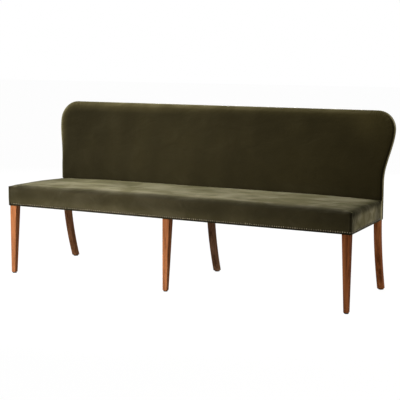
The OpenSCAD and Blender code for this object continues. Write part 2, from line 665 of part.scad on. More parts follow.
wad_out = cover_t + soft_gap;
rear_wad_t = 1;
wad_up = 2;
cover_low = rail_z;
wad_low = rail_z + wad_up;
cover_in = [cover_t, cover_t, cover_t, cover_t];
wad_in = [wad_out, wad_out, wad_out, wad_out];
wad_core = [front_wrap - wrap_gap, end_wrap - wrap_gap, wad_out + seat_wad_t, wad_out + rear_wad_t];
foam_in = [for (t = wad_core) t + soft_gap];
module seat_cover()
    color([0.33, 0.31, 0.2]) skin(seat_nx, seat_ny, seat_grid([0, 0, 0, 0]),
        seat_rings([0, 0, 0, 0], cover_low, draw_in), seat_grid(cover_in),
        seat_rings(cover_in, cover_low, draw_in));
module seat_wadding()
    color([0.93, 0.93, 0.91]) skin(seat_nx, seat_ny, seat_grid(wad_in),
        seat_rings(wad_in, wad_low, draw_in), seat_grid(wad_core), seat_rings(wad_core, wad_low, 0));
function flat_grid(in, z) = [for (i = [0:seat_nx]) for (j = [0:seat_ny])
    let (p = seat_plan(i, j, in)) [p[0], p[1], z]];
module seat_foam()
    color([0.95, 0.9, 0.7]) skin(seat_nx, seat_ny, seat_grid(foam_in), [], flat_grid(foam_in, foam_z), []);

// Back frame: rails between the posts, and ears outside them
module low_back_rail_solid() difference() {
    along_x(plank_t/2, back_leg_in_x)
        polygon(slab(low_rail_z, low_rail_z + low_rail_h, panel_d, post_front));
    low_outer_dowels(hole_d, hole_l);
    low_centre_dowels(hole_d, hole_l);
}
module low_back_rail_right() color(beech) low_back_rail_solid();
module low_back_rail_left() color(beech) mirror([1, 0, 0]) low_back_rail_solid();
module top_rail()
    color(beech) difference() {
        intersection() {
            along_x(-back_leg_in_x, back_leg_in_x)
                polygon(slab(top_rail_z, back_h - frame_off, panel_d, post_front));
            along_y(0, overall_d) polygon(outline(frame_off, top_rail_z - past));
        }
        both_sides() top_outer_dowels(hole_d, hole_l);
        top_centre_dowel(hole_d, hole_l);
    }
module ear_solid() difference() {
    intersection() {
        along_x(back_leg_x, half_max) polygon(slab(ear_z, back_h, panel_d, post_front));
        along_y(0, overall_d) polygon(outline(frame_off, ear_z));
    }
    ear_dowels(hole_d, 2*dowel_room);
}
module ear_right() color(beech) ear_solid();
module ear_left() color(beech) mirror([1, 0, 0]) ear_solid();
module back_dowels()
    color([0.86, 0.74, 0.55]) {
        both_sides() {
            low_outer_dowels(dowel_d, dowel_l);
            top_outer_dowels(dowel_d, dowel_l);
            ear_dowels(dowel_d, 0);
        }
        low_centre_dowels(dowel_d, dowel_l);
        top_centre_dowel(dowel_d, dowel_l);
    }

// Webbing and hessian on the front of the back frame
strap_end = 12;
strap_low = low_rail_z + strap_end;
strap_top = back_h - frame_off - strap_end;
module back_webbing_upright()
    color([0.5, 0.45, 0.38]) both_sides() for (k = [1:back_straps]) {
        x = plank_t/2 + (back_leg_in_x - plank_t/2)*(k - 0.5)/back_straps;
        along_x(x - web_w/2, x + web_w/2) polygon(slab(strap_low, strap_top, post_front, back_web));
    }
module back_webbing_cross()
    color([0.45, 0.4, 0.34]) for (k = [1:cross_straps]) {
        z = bend_top + (top_rail_z - bend_top)*(k - 0.5)/cross_straps;
        along_x(-back_leg_x + strap_in, back_leg_x - strap_in)
            polygon(slab(z - web_w/2, z + web_w/2, back_web, back_hess));
    }
module back_hessian()
    color([0.66, 0.56, 0.4]) intersection() {
        along_x(-back_leg_x + strap_in, back_leg_x - strap_in)
            polygon(slab(strap_low - strap_in, strap_top + strap_in, back_hess, back_hess + hessian_t));
        along_y(0, overall_d) polygon(outline(foam_edge, strap_low - 2*strap_in));
    }

// The back's form. A layer is set in by [sideways, from the front], and its edge lies at a rim depth
back_end_cells = 3;
back_half_cells = 5;
back_nx = 2*(back_end_cells + back_half_cells);
tuck_cells = 2;
arc_cells = 6;
tuck = 6;
back_ny = tuck_cells + mid_cells + arc_cells;
// Height over which the swell of the back fades in above the seat
swell_rise = 60;
function back_z(j, off) = j <= tuck_cells ? panel_z + off + tuck*(1 - cos(90*j/tuck_cells))
    : j <= tuck_cells + mid_cells ? mid_zs[j - tuck_cells - 1]
    : arc_z + (top_r - off)*sin(90*(j - tuck_cells - mid_cells)/arc_cells);
function off_half(z, off) = z <= arc_z ? half_w(z) - off
    : arc_x + sqrt(max(0, pow(top_r - off, 2) - pow(z - arc_z, 2)));
function edge_dist(x, z, off) = let (ax = abs(x))
    z > arc_z && ax > arc_x ? max(0, top_r - off - norm([ax - arc_x, z - arc_z]))
    : min(half_w(min(z, arc_z)) - off - ax, back_h - off - z);
function back_point(i, j, in, rim) = let (
        z = back_z(j, in[0]),
        half = off_half(z, in[0]),
        k = min(i, back_nx - i),
        d = station(k, back_end_cells, back_roll, back_half_cells, half, back_station_pow),
        x = (i < back_nx/2 ? -1 : 1)*(half - d),
        up = (z - panel_z)/(back_h - panel_z),
        full = roll_up(max(0, edge_dist(x, z, in[0])), back_roll),
        tucked = roll_up(z - panel_z - in[0], tuck),
        least = j == 0 ? max(rim, panel_rim) : rim,
        swell = back_crown*(1 - pow(abs(x)/half, 6))*(1 - pow(up, 4))
            *smooth((z - seat_h + tuck)/swell_rise))
    [x, rear_y(z) - max(least, border_d + (back_t - in[1] - border_d + swell)*full*tucked), z];
function back_grid(in, rim) = [for (i = [0:back_nx]) for (j = [0:back_ny]) back_point(i, j, in, rim)];
function back_flat(in, depth) = [for (i = [0:back_nx]) for (j = [0:back_ny])
    let (p = back_point(i, j, in, depth)) [p[0], rear_y(p[2]) - depth, p[2]]];
back_wad_out = cover_t + soft_gap;
back_wad_core = back_wad_out + back_wad_t;
foam_front = back_wad_core + soft_gap;
// How far the foam's edge lies inside the wadding, where the roll is still low, and the foam's
// thickness there
foam_short = 2.5;
foam_edge = back_wad_core + foam_short;
foam_lip = 1.5;
module inside_back_cover()
    color([0.25, 0.23, 0.14]) skin(back_nx, back_ny, back_grid([0, 0], border_d), [],
        back_grid([cover_t, cover_t], border_d), []);
module back_wadding()
    color([0.93, 0.93, 0.91]) skin(back_nx, back_ny,
        back_grid([back_wad_out, back_wad_out], border_d), [],
        back_grid([back_wad_core, back_wad_core], border_d), []);
module back_foam()
    color([0.95, 0.9, 0.7]) skin(back_nx, back_ny,
        back_grid([foam_edge, foam_front], back_foam_in + foam_lip), [],
        back_flat([foam_edge, foam_front], back_foam_in), []);

// The border: a strip of cover that runs up one side, over the top and down the other. It is
// deeper beside the seat, below the edge of the front panel
strip_step = 1;
function border_half(off) = concat([for (z = [cover_low, panel_z - strip_step]) [half_w(z) - off, z]],
    right_side(off, panel_z));
function border_path(off) = let (r = border_half(off))
    concat(r, [for (k = [len(r) - 1:-1:0]) [-r[k][0], r[k][1]]]);
border_rear = cover_t + soft_gap;
module back_border_cover()
    color([0.3, 0.28, 0.18]) {
        outer = border_path(0);
        inner = border_path(cover_t);
        n = len(outer);
        points = [for (k = [0:n - 1]) let (o = outer[k], i = inner[k],
                far = o[1] < panel_z - strip_step/2 ? border_low_d : border_d - soft_gap)
            for (p = [[o[0], rear_y(o[1]) - far, o[1]], [o[0], rear_y(o[1]) - border_rear, o[1]],
                [i[0], rear_y(i[1]) - border_rear, i[1]], [i[0], rear_y(i[1]) - far, i[1]]]) p];
        faces = concat([[0, 1, 2], [0, 2, 3]],
            [for (k = [0:n - 2]) for (s = [0:3])
                for (t = quad(4*k + s, 4*k + 4 + s, 4*k + 4 + (s + 1) % 4, 4*k + (s + 1) % 4)) t],
            [[4*n - 4, 4*n - 2, 4*n - 3], [4*n - 4, 4*n - 1, 4*n - 2]]);
        polyhedron(points, faces, convexity = 6);
    }
card_in = 4;
module back_card()
    color([0.7, 0.62, 0.5]) intersection() {
        along_x(-half_max, half_max) polygon(slab(rail_z + card_in, back_h, cover_t, panel_d));
        along_y(0, overall_d) polygon(outline(card_in, rail_z + card_in));
    }
module outside_back_cover()
    color([0.27, 0.25, 0.16]) intersection() {
        along_x(-half_max, half_max) polygon(slab(cover_low, back_h, 0, cover_t));
        along_y(0, overall_d) polygon(outline(0, cover_low));
    }

// Nailheads, with the width of their tops as a share of their diameter
nail_top_share = 0.45;
module nailhead() cylinder(h = nail_h, d1 = nail_d, d2 = nail_d*nail_top_share, $fn = 20);
nail_seat = 0.1;
// A row's first nailhead lies this far from the end of the cover
nail_end = 9;
module seat_nailheads()
    color([0.55, 0.5, 0.38]) {
        row = seat_l - 2*nail_end;
        n = floor(row/nail_pitch);
        for (k = [0:n])
            translate([-row/2 + row*k/n, front_y + draw_in - nail_seat, rail_z + nail_up])
                rotate([90, 0, 0]) nailhead();
        side_row = seat_rear - front_y - 2*nail_end;
        m = floor(side_row/nail_pitch);
        both_sides() for (k = [0:m]) {
            y = front_y + nail_end + side_row*k/m;
            translate([seat_half(y) - draw_in + nail_seat, y, rail_z + nail_up])
                rotate([0, 90, atan(end_taper/(back_leg_y - front_y))]) nailhead();
        }
    }
// Nailheads on the border, square to the outline: a is the angle of the outline's normal
module border_nail(x, z, a) translate([x + nail_seat*cos(a), rear_y(z) - nail_rear, z + nail_seat*sin(a)])
    rotate([0, 90 - a, 0]) nailhead();
function strip_w(z) = lookup(z, [for (p = border_half(0)) if (p[1] <= arc_z) [p[1], p[0]]]);
function side_normal(z) = atan((strip_w(z - 1) - strip_w(z + 1))/2);
module back_nailheads()
    color([0.5, 0.46, 0.36]) {
        rise = arc_z - rail_z - nail_up;
        n = floor(rise/nail_pitch);
        arc_n = round(top_r*PI/2/nail_pitch);
        top_n = floor(2*arc_x/nail_pitch);
        both_sides() {
            for (k = [0:n - 1]) {
                z = rail_z + nail_up + rise*k/n;
                border_nail(strip_w(z), z, side_normal(z));
            }
            for (k = [0:arc_n - 1]) {
                a = 90*k/arc_n;
                border_nail(arc_x + top_r*cos(a), arc_z + top_r*sin(a), a);
            }
        }
        for (k = [0:top_n]) border_nail(-arc_x + 2*arc_x*k/top_n, back_h, 90);
    }

front_leg_left();
front_leg_centre();
front_leg_right();
back_leg_left();
back_leg_centre();
back_leg_right();
foot_glides();
glide_nails();
front_rail();
back_rail_left();
back_rail_right();
side_rail_left();
side_rail_right();
cross_rail();
corner_blocks();
frame_screws();
seat_dowels();
seat_webbing_across();
seat_webbing_along();
seat_hessian();
seat_foam();
seat_wadding();
seat_cover();
seat_nailheads();
dust_cover();
top_rail();
low_back_rail_left();
low_back_rail_right();
ear_left();
ear_right();
back_dowels();
back_webbing_upright();
back_webbing_cross();
back_hessian();
back_foam();
back_wadding();
inside_back_cover();
back_border_cover();
back_card();
outside_back_cover();
back_nailheads();
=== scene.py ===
import math

import bpy
import numpy as np
from mathutils import Matrix, Vector


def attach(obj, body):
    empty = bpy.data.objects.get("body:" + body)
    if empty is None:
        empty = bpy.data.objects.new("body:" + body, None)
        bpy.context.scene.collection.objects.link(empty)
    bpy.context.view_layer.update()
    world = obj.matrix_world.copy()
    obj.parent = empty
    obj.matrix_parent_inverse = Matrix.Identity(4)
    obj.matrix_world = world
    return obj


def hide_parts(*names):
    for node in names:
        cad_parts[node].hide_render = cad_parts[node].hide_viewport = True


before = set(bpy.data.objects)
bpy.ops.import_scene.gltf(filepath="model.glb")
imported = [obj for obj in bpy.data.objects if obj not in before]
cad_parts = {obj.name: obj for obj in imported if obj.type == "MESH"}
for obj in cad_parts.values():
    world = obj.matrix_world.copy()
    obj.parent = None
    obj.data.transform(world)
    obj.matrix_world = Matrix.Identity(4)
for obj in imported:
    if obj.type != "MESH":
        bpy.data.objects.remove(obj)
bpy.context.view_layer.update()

print("frame loaded:", len(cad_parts), "nodes")

# Overall sizes of the bench in metres, the same as the frame's
bench = {
    "frontY": -0.30624,      # front of the seat
    "seatRear": 0.17926,     # where the seat meets the back
    "seatHalf": 1.0,         # half the seat's length at the front
    "endTaper": 0.0155,      # how much narrower it is at the back legs, each side
    "endTaperDepth": 0.4915,
    "seatTop": 0.500,
    "wallTop": 0.470,        # where the front and ends turn over into the top
    "railZ": 0.382,          # underside of the seat frame
    "foamZ": 0.4555,
    "legY": -0.30224,        # front faces of the front legs
    "legX": 0.99009,         # outer faces of the front legs
    "legWide": 0.0405,       # front legs at the rail
    "legTop": 0.452,         # upper end of the front legs, and where the back legs turn into posts
    "backLegX": 0.97599,     # outer faces of the outer back legs
    "backLegY": 0.18526,
    "plank": 0.032,          # thickness of the back legs
    "rearY": 0.22776,        # rear face of the back below its bend
    "panelZ": 0.480,         # lower edge of the inside back
    "backTop": 0.932,
    "arcZ": 0.832,           # centre of the round corners
    "arcX": 0.9192,
    "arcR": 0.100,
    "backHalf": 0.9807,
    "flare": 0.0385,
    "lean": 0.24,
}


# numbers

def smooth(t):
    # 0 below 0, 1 above 1, and soft in between
    t = np.clip(t, 0, 1)
    return t * t * (3 - 2 * t)


def rollUp(distance, radius):
    # quarter circle: 0 at the edge, 1 from the radius on
    return np.sqrt(np.clip(1 - (1 - np.clip(distance / radius, 0, 1)) ** 2, 0, 1))


def bump(distance, width):
    return np.exp(-(distance / width) ** 2)


def waves(distance, length, shift=0.0):
    return np.sin(distance * 2 * math.pi / length + shift)


def ripple(points, wavelength, seed, count=9):
    # soft unevenness with a typical wavelength, about -1 to 1
    rng = np.random.default_rng(seed)
    total = np.zeros(len(points))
    for _ in range(count):
        direction = rng.normal(size=3)
        direction /= np.linalg.norm(direction)
        length = wavelength * rng.uniform(0.7, 1.5)
        total += np.sin(points @ direction * 2 * math.pi / length + rng.uniform(0, 2 * math.pi))
    return total / math.sqrt(count) / 1.2


def spread(length, near, far, nearZone):
    # stations from 0 to length, closely spaced in nearZone at both ends
    def step(s):
        return near + (far - near) * float(smooth((min(s, length - s) - nearZone) / nearZone))
    stations = [0.0]
    while stations[-1] < length:
        stations.append(stations[-1] + step(stations[-1]))
    return np.array(stations) * length / stations[-1]


# meshes

def gridFaces(count, rows, flip=False):
    # quads of count lines of points, each with rows points
    i, j = np.meshgrid(np.arange(count - 1), np.arange(rows - 1), indexing="ij")
    corner = (i * rows + j).ravel()
    quads = np.stack([corner, corner + rows, corner + rows + 1, corner + 1], 1)
    return quads[:, ::-1] if flip else quads


def edgeLoop(count, rows):
    # indices round the rim of such a grid
    first = np.arange(count - 1) * rows
    last = (count - 1) * rows + np.arange(rows - 1)
    top = np.arange(count - 1, 0, -1) * rows + rows - 1
    left = np.arange(rows - 1, 0, -1)
    return np.concatenate([first, last, top, left])


def bridge(loopA, loopB, flip=False):
    # quads between two closed loops
    quads = np.stack([loopA, loopB, np.roll(loopB, -1), np.roll(loopA, -1)], 1)
    return quads[:, ::-1] if flip else quads


def tubeFaces(around, rings, flip=False):
    # quads along closed rings of points, and a cap at each end
    loops = np.arange(around * rings).reshape(rings, around)
    quads = [quad for a, b in zip(loops[:-1], loops[1:]) for quad in bridge(a, b, flip)]
    caps = [loops[0], loops[-1][::-1]]
    return quads + [cap[::-1] if flip else cap for cap in caps]


def trimmed(points, faces):
    # leaves out the points that no face uses
    used = np.unique(faces)
    remap = np.full(len(points), -1)
    remap[used] = np.arange(len(used))
    return points[used], remap[faces]


class Shell:
    # a patch of points, rings that are added round its rim, and a lid that closes them
    def __init__(self, patch, flip=False):
        self.count, self.rows = patch.shape[:2]
        self.flip = flip
        self.loop = edgeLoop(self.count, self.rows)
        self.last = self.loop
        self.points = [patch.reshape(-1, 3)]
        self.total = len(self.points[0])
        self.faces = [gridFaces(self.count, self.rows, flip)]
        self.kinds = [np.zeros(len(self.faces[0]), dtype=int)]     # which material each face has

    def addRing(self, ring, kind=0):
        current = np.arange(len(ring)) + self.total
        self.faces.append(bridge(self.last, current, self.flip))
        self.kinds.append(np.full(len(ring), kind))
        self.points.append(ring)
        self.total += len(ring)
        self.last = current

    def close(self, lid, kind):
        # the lid's own rim is the last ring
        index = np.arange(len(lid)) + self.total
        index[self.loop] = self.last
        quads = gridFaces(self.count, self.rows, not self.flip)
        self.faces.append(index[quads])
        self.kinds.append(np.full(len(quads), kind))
        self.points.append(lid)

    def build(self, name, materials):
        points, faces = trimmed(np.concatenate(self.points), np.concatenate(self.faces))
        return makeObject(name, points, faces, materials, np.concatenate(self.kinds))


def makeObject(name, points, faces, materials, indices=None, shade=True):
    mesh = bpy.data.meshes.new(name)
    mesh.from_pydata(np.asarray(points).tolist(), [], [list(map(int, f)) for f in faces])
    for material in materials:
        mesh.materials.append(material)
    if indices is not None:
        mesh.polygons.foreach_set("material_index", np.asarray(indices, dtype=np.int32))
    if shade:
        mesh.polygons.foreach_set("use_smooth", np.ones(len(mesh.polygons), dtype=bool))
    mesh.validate()
    mesh.update()
    obj = bpy.data.objects.new(name, mesh)
    bpy.context.scene.collection.objects.link(obj)
    return obj


def readPoints(obj, what="co"):
    values = np.empty(len(obj.data.vertices) * 3)
    if what == "co":
        obj.data.vertices.foreach_get("co", values)
    else:
        obj.data.vertex_normals.foreach_get("vector", values)
    return values.reshape(-1, 3)


def press(obj, field):
    # moves each point along its normal by field(points, normals)
    points, normals = readPoints(obj), readPoints(obj, "normal")
    points += normals * field(points, normals)[:, None]
    obj.data.vertices.foreach_set("co", points.ravel())
    obj.data.update()


def paintLightAndNap(obj, values):
    # painted light and shade, together with how the pile lies: 0 for painted shade as in creases, 1 as the
    # colours are written, more for painted light and where the pile is brushed light
    attribute = obj.data.attributes.new("napAndPaintedLight", "FLOAT", "POINT")
    attribute.data.foreach_set("value", np.clip(values / velvetLook["most"], 0, 1).astype(np.float32))


def applyModifiers(obj):
    evaluated = obj.evaluated_get(bpy.context.evaluated_depsgraph_get())
    mesh = bpy.data.meshes.new_from_object(evaluated)
    obj.modifiers.clear()
    obj.data = mesh
    return obj


# nodes

class Wire:
    # a node socket that takes part in Python expressions
    def __init__(self, tree, socket=None):
        self.tree = tree
        self.socket = socket

    def feed(self, node, values):
        # links or fixed values for a node's sockets
        for name, value in values.items():
            if isinstance(value, Wire):
                self.tree.links.new(value.socket, node.inputs[name])
            else:
                node.inputs[name].default_value = value

    def add(self, kind, values=None, out=0, **settings):
        node = self.tree.nodes.new(kind)
        for name, value in settings.items():
            setattr(node, name, value)
        self.feed(node, values or {})
        return Wire(self.tree, node.outputs[out])

    def calc(self, operation, first, second=0.0):
        return self.add("ShaderNodeMath", {0: first, 1: second}, operation=operation)

    def __add__(self, other): return self.calc("ADD", self, other)
    def __radd__(self, other): return self.calc("ADD", other, self)
    def __sub__(self, other): return self.calc("SUBTRACT", self, other)
    def __rsub__(self, other): return self.calc("SUBTRACT", other, self)
    def __mul__(self, other): return self.calc("MULTIPLY", self, other)
    def __rmul__(self, other): return self.calc("MULTIPLY", other, self)
    def __pow__(self, other): return self.calc("POWER", self, other)
    def __rpow__(self, other): return self.calc("POWER", other, self)


def srgb(red, green, blue):
    # 0-255 values as a linear colour
    def linear(c):
        c /= 255
        return c / 12.92 if c <= 0.04045 else ((c + 0.055) / 1.055) ** 2.4
    return (linear(red), linear(green), linear(blue), 1.0)


def emptyTree(owner):
    owner.use_nodes = True
    owner.node_tree.nodes.clear()
    return owner.node_tree


def newMaterial(name):
    # the material, its shader's node, and object coordinates to build patterns on
    material = bpy.data.materials.new(name)
    tree = emptyTree(material)
    shader = tree.nodes.new("ShaderNodeBsdfPrincipled")
    output = tree.nodes.new("ShaderNodeOutputMaterial")
    tree.links.new(shader.outputs[0], output.inputs["Surface"])
    return material, shader, Wire(tree).add("ShaderNodeTexCoord", out="Object")


def noise(place, scale, detail=2.0, roughness=0.5, distortion=0.0):
    return place.add("ShaderNodeTexNoise", {"Vector": place, "Scale": scale, "Detail": detail,
                                            "Roughness": roughness, "Distortion": distortion},
                     noise_dimensions="3D")


def stretched(place, scale):
    return place.add("ShaderNodeMapping", {"Vector": place, "Scale": scale})


def mixColour(factor, first, second):
    return factor.add("ShaderNodeMix", {0: factor, 6: first, 7: second}, out=2, data_type="RGBA")


def between(value, low, high):
    # 0 below low, 1 above high
    return value.add("ShaderNodeMapRange", {"Value": value, "From Min": low, "From Max": high},
                     interpolation_type="SMOOTHSTEP")


def bumped(height, distance, strength, normal=None):
    values = {"Height": height, "Distance": distance, "Strength": strength}
    if normal is not None:
        values["Normal"] = normal
    return height.add("ShaderNodeBump", values)


# materials

velvetLook = {
    "dark": srgb(32, 28, 14),       # pile seen straight on
    "mid": srgb(45, 40, 23),
    "light": srgb(63, 56, 30),      # its tips
    "grazeDark": srgb(98, 93, 63),  # painted sheen: pile seen from the side
    "grazeLight": srgb(167, 160, 131),
    "paintedShade": srgb(15, 12, 5),        # painted shade in creases, and where the pile is brushed against the light
    "grazePower": 1.75,
    "most": 1.6,                    # highest value of the painted light and nap
    "sheen": 0.09,
    "sheenRough": 0.5,
    "sheenTint": srgb(190, 187, 130),
    "patchScale": 4.2,              # brushed patches a metre
    "napTilt": 0.0045,              # how far the brushed pile leans, as a bump
}


def makeVelvet(name, shade, pale=1.0, uneven=1.0):
    # shade tints every colour and pale lifts those seen from the side, which makes lit and shaded copies of
    # one velvet, painted light; uneven is the contrast of the patches
    look = velvetLook
    material, shader, place = newMaterial(name)
    patches = noise(place, look["patchScale"], 3.0, 0.55, 0.6)
    strokes = noise(stretched(place, (9, 34, 20)), 1.0, 3.0, 0.6, 0.4)
    pile = noise(place, 1400.0, 2.0, 0.6)
    brushed = (between(patches * 0.72 + strokes * 0.28, 0.40, 0.64) - 0.5) * uneven + 0.5

    def scaled(key, factors):
        # the painted light and nap attribute is stored as a share of its highest value, so the colours make
        # up for it
        return tuple(c * f * look["most"] for c, f in zip(look[key], factors)) + (1,)

    dark, mid, light = (scaled(key, shade) for key in ("dark", "mid", "light"))
    base = mixColour(brushed, dark, mid)
    base = mixColour(between(pile, 0.35, 0.75) * 0.22, base, light)
    # the way the pile lies changes in broad patches and in strokes
    napAndPaintedLight = noise(stretched(place, (7, 13, 13)), 1.0, 3.0, 0.5, 0.8)
    normal = bumped(napAndPaintedLight + strokes * 0.35, look["napTilt"], 1.0)
    soft = noise(place, 60.0, 3.0, 0.55)
    normal = bumped(soft, 0.0012, 0.35, normal)
    # painted sheen: the colour turns pale where the pile is seen from the side; the mesh's own attribute
    # holds painted light and shade with how the pile is brushed, from 0 to 1
    facing = place.add("ShaderNodeLayerWeight", {"Blend": 0.5, "Normal": normal}, out="Facing")
    grazes = [scaled(key, [f * pale for f in shade]) for key in ("grazeDark", "grazeLight")]
    graze = mixColour((between(patches * 0.6 + napAndPaintedLight * 0.4, 0.40, 0.62) - 0.5) * uneven + 0.5, *grazes)
    base = mixColour(facing ** look["grazePower"], base, graze)
    brush = place.add("ShaderNodeAttribute", out="Fac", attribute_name="napAndPaintedLight")
    # painted shade where the attribute is low
    base = mixColour(brush, look["paintedShade"], base)
    normal = bumped(pile, 0.0004, 0.5, normal)
    place.feed(shader, {"Base Color": base, "Roughness": 0.82 + brushed * 0.12,
                        "Specular IOR Level": 0.03, "Sheen Weight": look["sheen"],
                        "Sheen Roughness": look["sheenRough"], "Sheen Tint": look["sheenTint"],
                        "Normal": normal})
    return material


def makeWood(name, dark, mid, light, along, rough):
    # along is the grain's direction: 0, 1 or 2
    material, shader, place = newMaterial(name)
    scale = [1.0, 1.0, 1.0]
    scale[along] = 0.06
    grained = stretched(place, scale)
    wander = noise(stretched(place, [s * 6 for s in scale]), 1.0)
    bands = noise(grained, 95.0, 4.0, 0.62, 0.9)
    pores = noise(grained, 900.0, 2.0, 0.7)
    long = noise(grained, 28.0, 2.0, 0.5, 0.3)
    colour = mixColour(between(bands + wander * 0.25, 0.46, 0.80), mid, dark)
    colour = mixColour(between(long, 0.42, 0.70) * 0.7, colour, light)
    colour = mixColour(between(pores, 0.60, 0.74) * 0.45, colour, dark)
    normal = bumped(pores, 0.0002, 0.35)
    normal = bumped(bands, 0.0003, 0.15, normal)
    place.feed(shader, {"Base Color": colour, "Roughness": rough + pores * 0.16,
                        "Specular IOR Level": 0.008, "Normal": normal})
    return material


def makeNailMetal():
    material, shader, place = newMaterial("agedBrass")
    worn = noise(place, 260.0, 3.0, 0.6)
    marks = noise(place, 1500.0)
    colour = mixColour(between(worn, 0.38, 0.66), srgb(62, 56, 42), srgb(112, 104, 84))
    # painted shade: the heads darken towards their rims, where they turn away from view
    facing = place.add("ShaderNodeLayerWeight", {"Blend": 0.5}, out="Facing")
    colour = mixColour(between(facing, 0.25, 0.75) * 0.85, colour, srgb(34, 30, 20))
    place.feed(shader, {"Base Color": colour, "Metallic": 0.9, "Roughness": 0.28 + worn * 0.22,
                        "Normal": bumped(marks, 0.0002, 0.3)})
    return material


def makeSteel():
    material, shader, place = newMaterial("zincSteel")
    brushed = noise(stretched(place, (1, 1, 0.1)), 1600.0, 2.0, 0.6)
    cloud = noise(place, 300.0)
    colour = mixColour(cloud, srgb(150, 150, 146), srgb(190, 188, 180))
    place.feed(shader, {"Base Color": colour, "Metallic": 1.0, "Roughness": 0.30 + brushed * 0.2,
                        "Normal": bumped(brushed, 0.0001, 0.3)})
    return material


def makePlastic():
    material, shader, place = newMaterial("glidePlastic")
    fine = noise(place, 900.0, 3.0)
    scuffs = noise(stretched(place, (60, 60, 400)), 1.0, 4.0, 0.7)
    colour = mixColour(between(scuffs, 0.5, 0.75), srgb(16, 14, 12), srgb(34, 31, 28))
    place.feed(shader, {"Base Color": colour, "Roughness": 0.5 + scuffs * 0.2, "Specular IOR Level": 0.1,
                        "Normal": bumped(fine, 0.0002, 0.3)})
    return material


def makeCloth(name, dark, light, threads, thickness=0.0004):
    # plain weave with so many threads a metre, in X and across it
    material, shader, place = newMaterial(name)
    parts = [place.add("ShaderNodeSeparateXYZ", {"Vector": place}, out=axis) for axis in range(3)]
    sideways = parts[0] * (2 * math.pi * threads)
    upright = (parts[1] + parts[2]) * (2 * math.pi * threads)
    weft = sideways.calc("SINE", sideways)
    warp = upright.calc("SINE", upright)
    weave = weft * warp * 0.5 + 0.5
    slub = noise(place, 120.0, 3.0, 0.6)
    fuzz = noise(place, 1800.0)
    colour = mixColour(weave * 0.6 + slub * 0.4, dark, light)
    normal = bumped(weave + fuzz * 0.4, thickness, 0.6)
    place.feed(shader, {"Base Color": colour, "Roughness": 0.86 + fuzz * 0.1,
                        "Specular IOR Level": 0.2, "Normal": normal})
    return material


def makeFibre(name, dark, light, scale=180.0):
    # felted fill and card
    material, shader, place = newMaterial(name)
    hairs = noise(stretched(place, (1, 1, 0.35)), scale, 5.0, 0.7, 1.5)
    cloud = noise(place, scale / 12)
    colour = mixColour(hairs * 0.6 + cloud * 0.4, dark, light)
    place.feed(shader, {"Base Color": colour, "Roughness": 0.9 + cloud * 0.08,
                        "Specular IOR Level": 0.15, "Normal": bumped(hairs, 0.0008, 0.5)})
    return material


# one velvet in three copies: the back's is tinted darker and the border's painted paler from the side, which
# is painted light and shade
velvet = makeVelvet("oliveVelvet", (1.0, 1.02, 1.12), 1.0, 0.7)
backVelvet = makeVelvet("oliveVelvetBack", (0.90, 0.89, 0.79), 1.09, 0.4)
borderVelvet = makeVelvet("oliveVelvetBorder", (0.98, 0.99, 1.04), 1.6)
beechBrowns = (srgb(176, 140, 98), srgb(206, 172, 126), srgb(220, 190, 148))
beechX = makeWood("beechAlongX", *beechBrowns, 0, 0.6)
beechY = makeWood("beechAlongY", *beechBrowns, 1, 0.6)
beechZ = makeWood("beechUpright", *beechBrowns, 2, 0.6)
nailMetal = makeNailMetal()
steel = makeSteel()
plastic = makePlastic()
dustCloth = makeCloth("dustCloth", srgb(26, 26, 28), srgb(52, 52, 54), 900)
hessianCloth = makeCloth("hessianCloth", srgb(128, 104, 68), srgb(186, 158, 112), 420, 0.0006)
webbingCloth = makeCloth("webbingCloth", srgb(86, 72, 54), srgb(168, 148, 112), 300, 0.0006)
wadding = makeFibre("wadding", srgb(206, 202, 192), srgb(236, 233, 226))
card = makeFibre("greyCard", srgb(128, 118, 102), srgb(158, 148, 130), 600.0)
print("materials made")


# the seat's upholstery

seatLook = {
    "crown": 0.007,          # fall of the top towards its ends
    "rearFall": 0.006,
    "peak": 0.120,           # depth at which the top is highest
    "frontRoll": 0.046,
    "endRoll": 0.026,
    "rearRoll": 0.012,
    "cornerR": 0.008,
    "rearRise": 0.0135,      # where the cover is tucked up against the back
    "cornerRise": 0.015,     # the folded front corners stand higher than the rest of the wall
    "squeezed": 0.06,        # columns further in than this follow the seat's taper
    "frontThick": 0.0038,    # cover and wadding where they turn in under the front, and under the ends
    "endThick": 0.0083,
    "rearThick": 0.0015,
    "wallRings": 30,
    "drawIn": 0.0006,        # how far the nails draw the faces in
    "drawBelow": 0.432,      # from this height down
    "hemIn": 0.0007,         # how far the lowest edge turns in
    "hemBelow": 0.3850,
    "lipIn": 0.0013,
    "hemTop": 0.384,         # upper end of the turned-in cover
    "unevenTop": 0.0011,
    "unevenFace": 0.0006,
    "nailZ": 0.3925,
    "nailsFront": 166,
    "nailsEnd": 39,
    "nailFirstX": 0.991,     # outermost nails of the front
    "nailFirstDeep": 0.009,  # first nails of the ends, behind the front
    "nailPitchFront": 1.982 / 165,
    "nailPitchEnd": 0.4675 / 38,
    "nailSink": 0.0011,      # how deep the nails sit in the faces
    "nailDimple": 0.0005,
    "pleatDeep": 0.0024,
}


def seatHalf(y):
    return bench["seatHalf"] - bench["endTaper"] * (y - bench["frontY"]) / bench["endTaperDepth"]


def cornerBend(a, b, radius):
    # how far a point moves in where two edges meet in a round corner
    p, q = np.clip(1 - a / radius, 0, None), np.clip(1 - b / radius, 0, None)
    return radius * p * (1 - np.sqrt(np.clip(1 - q * q / 2, 0, 1)))


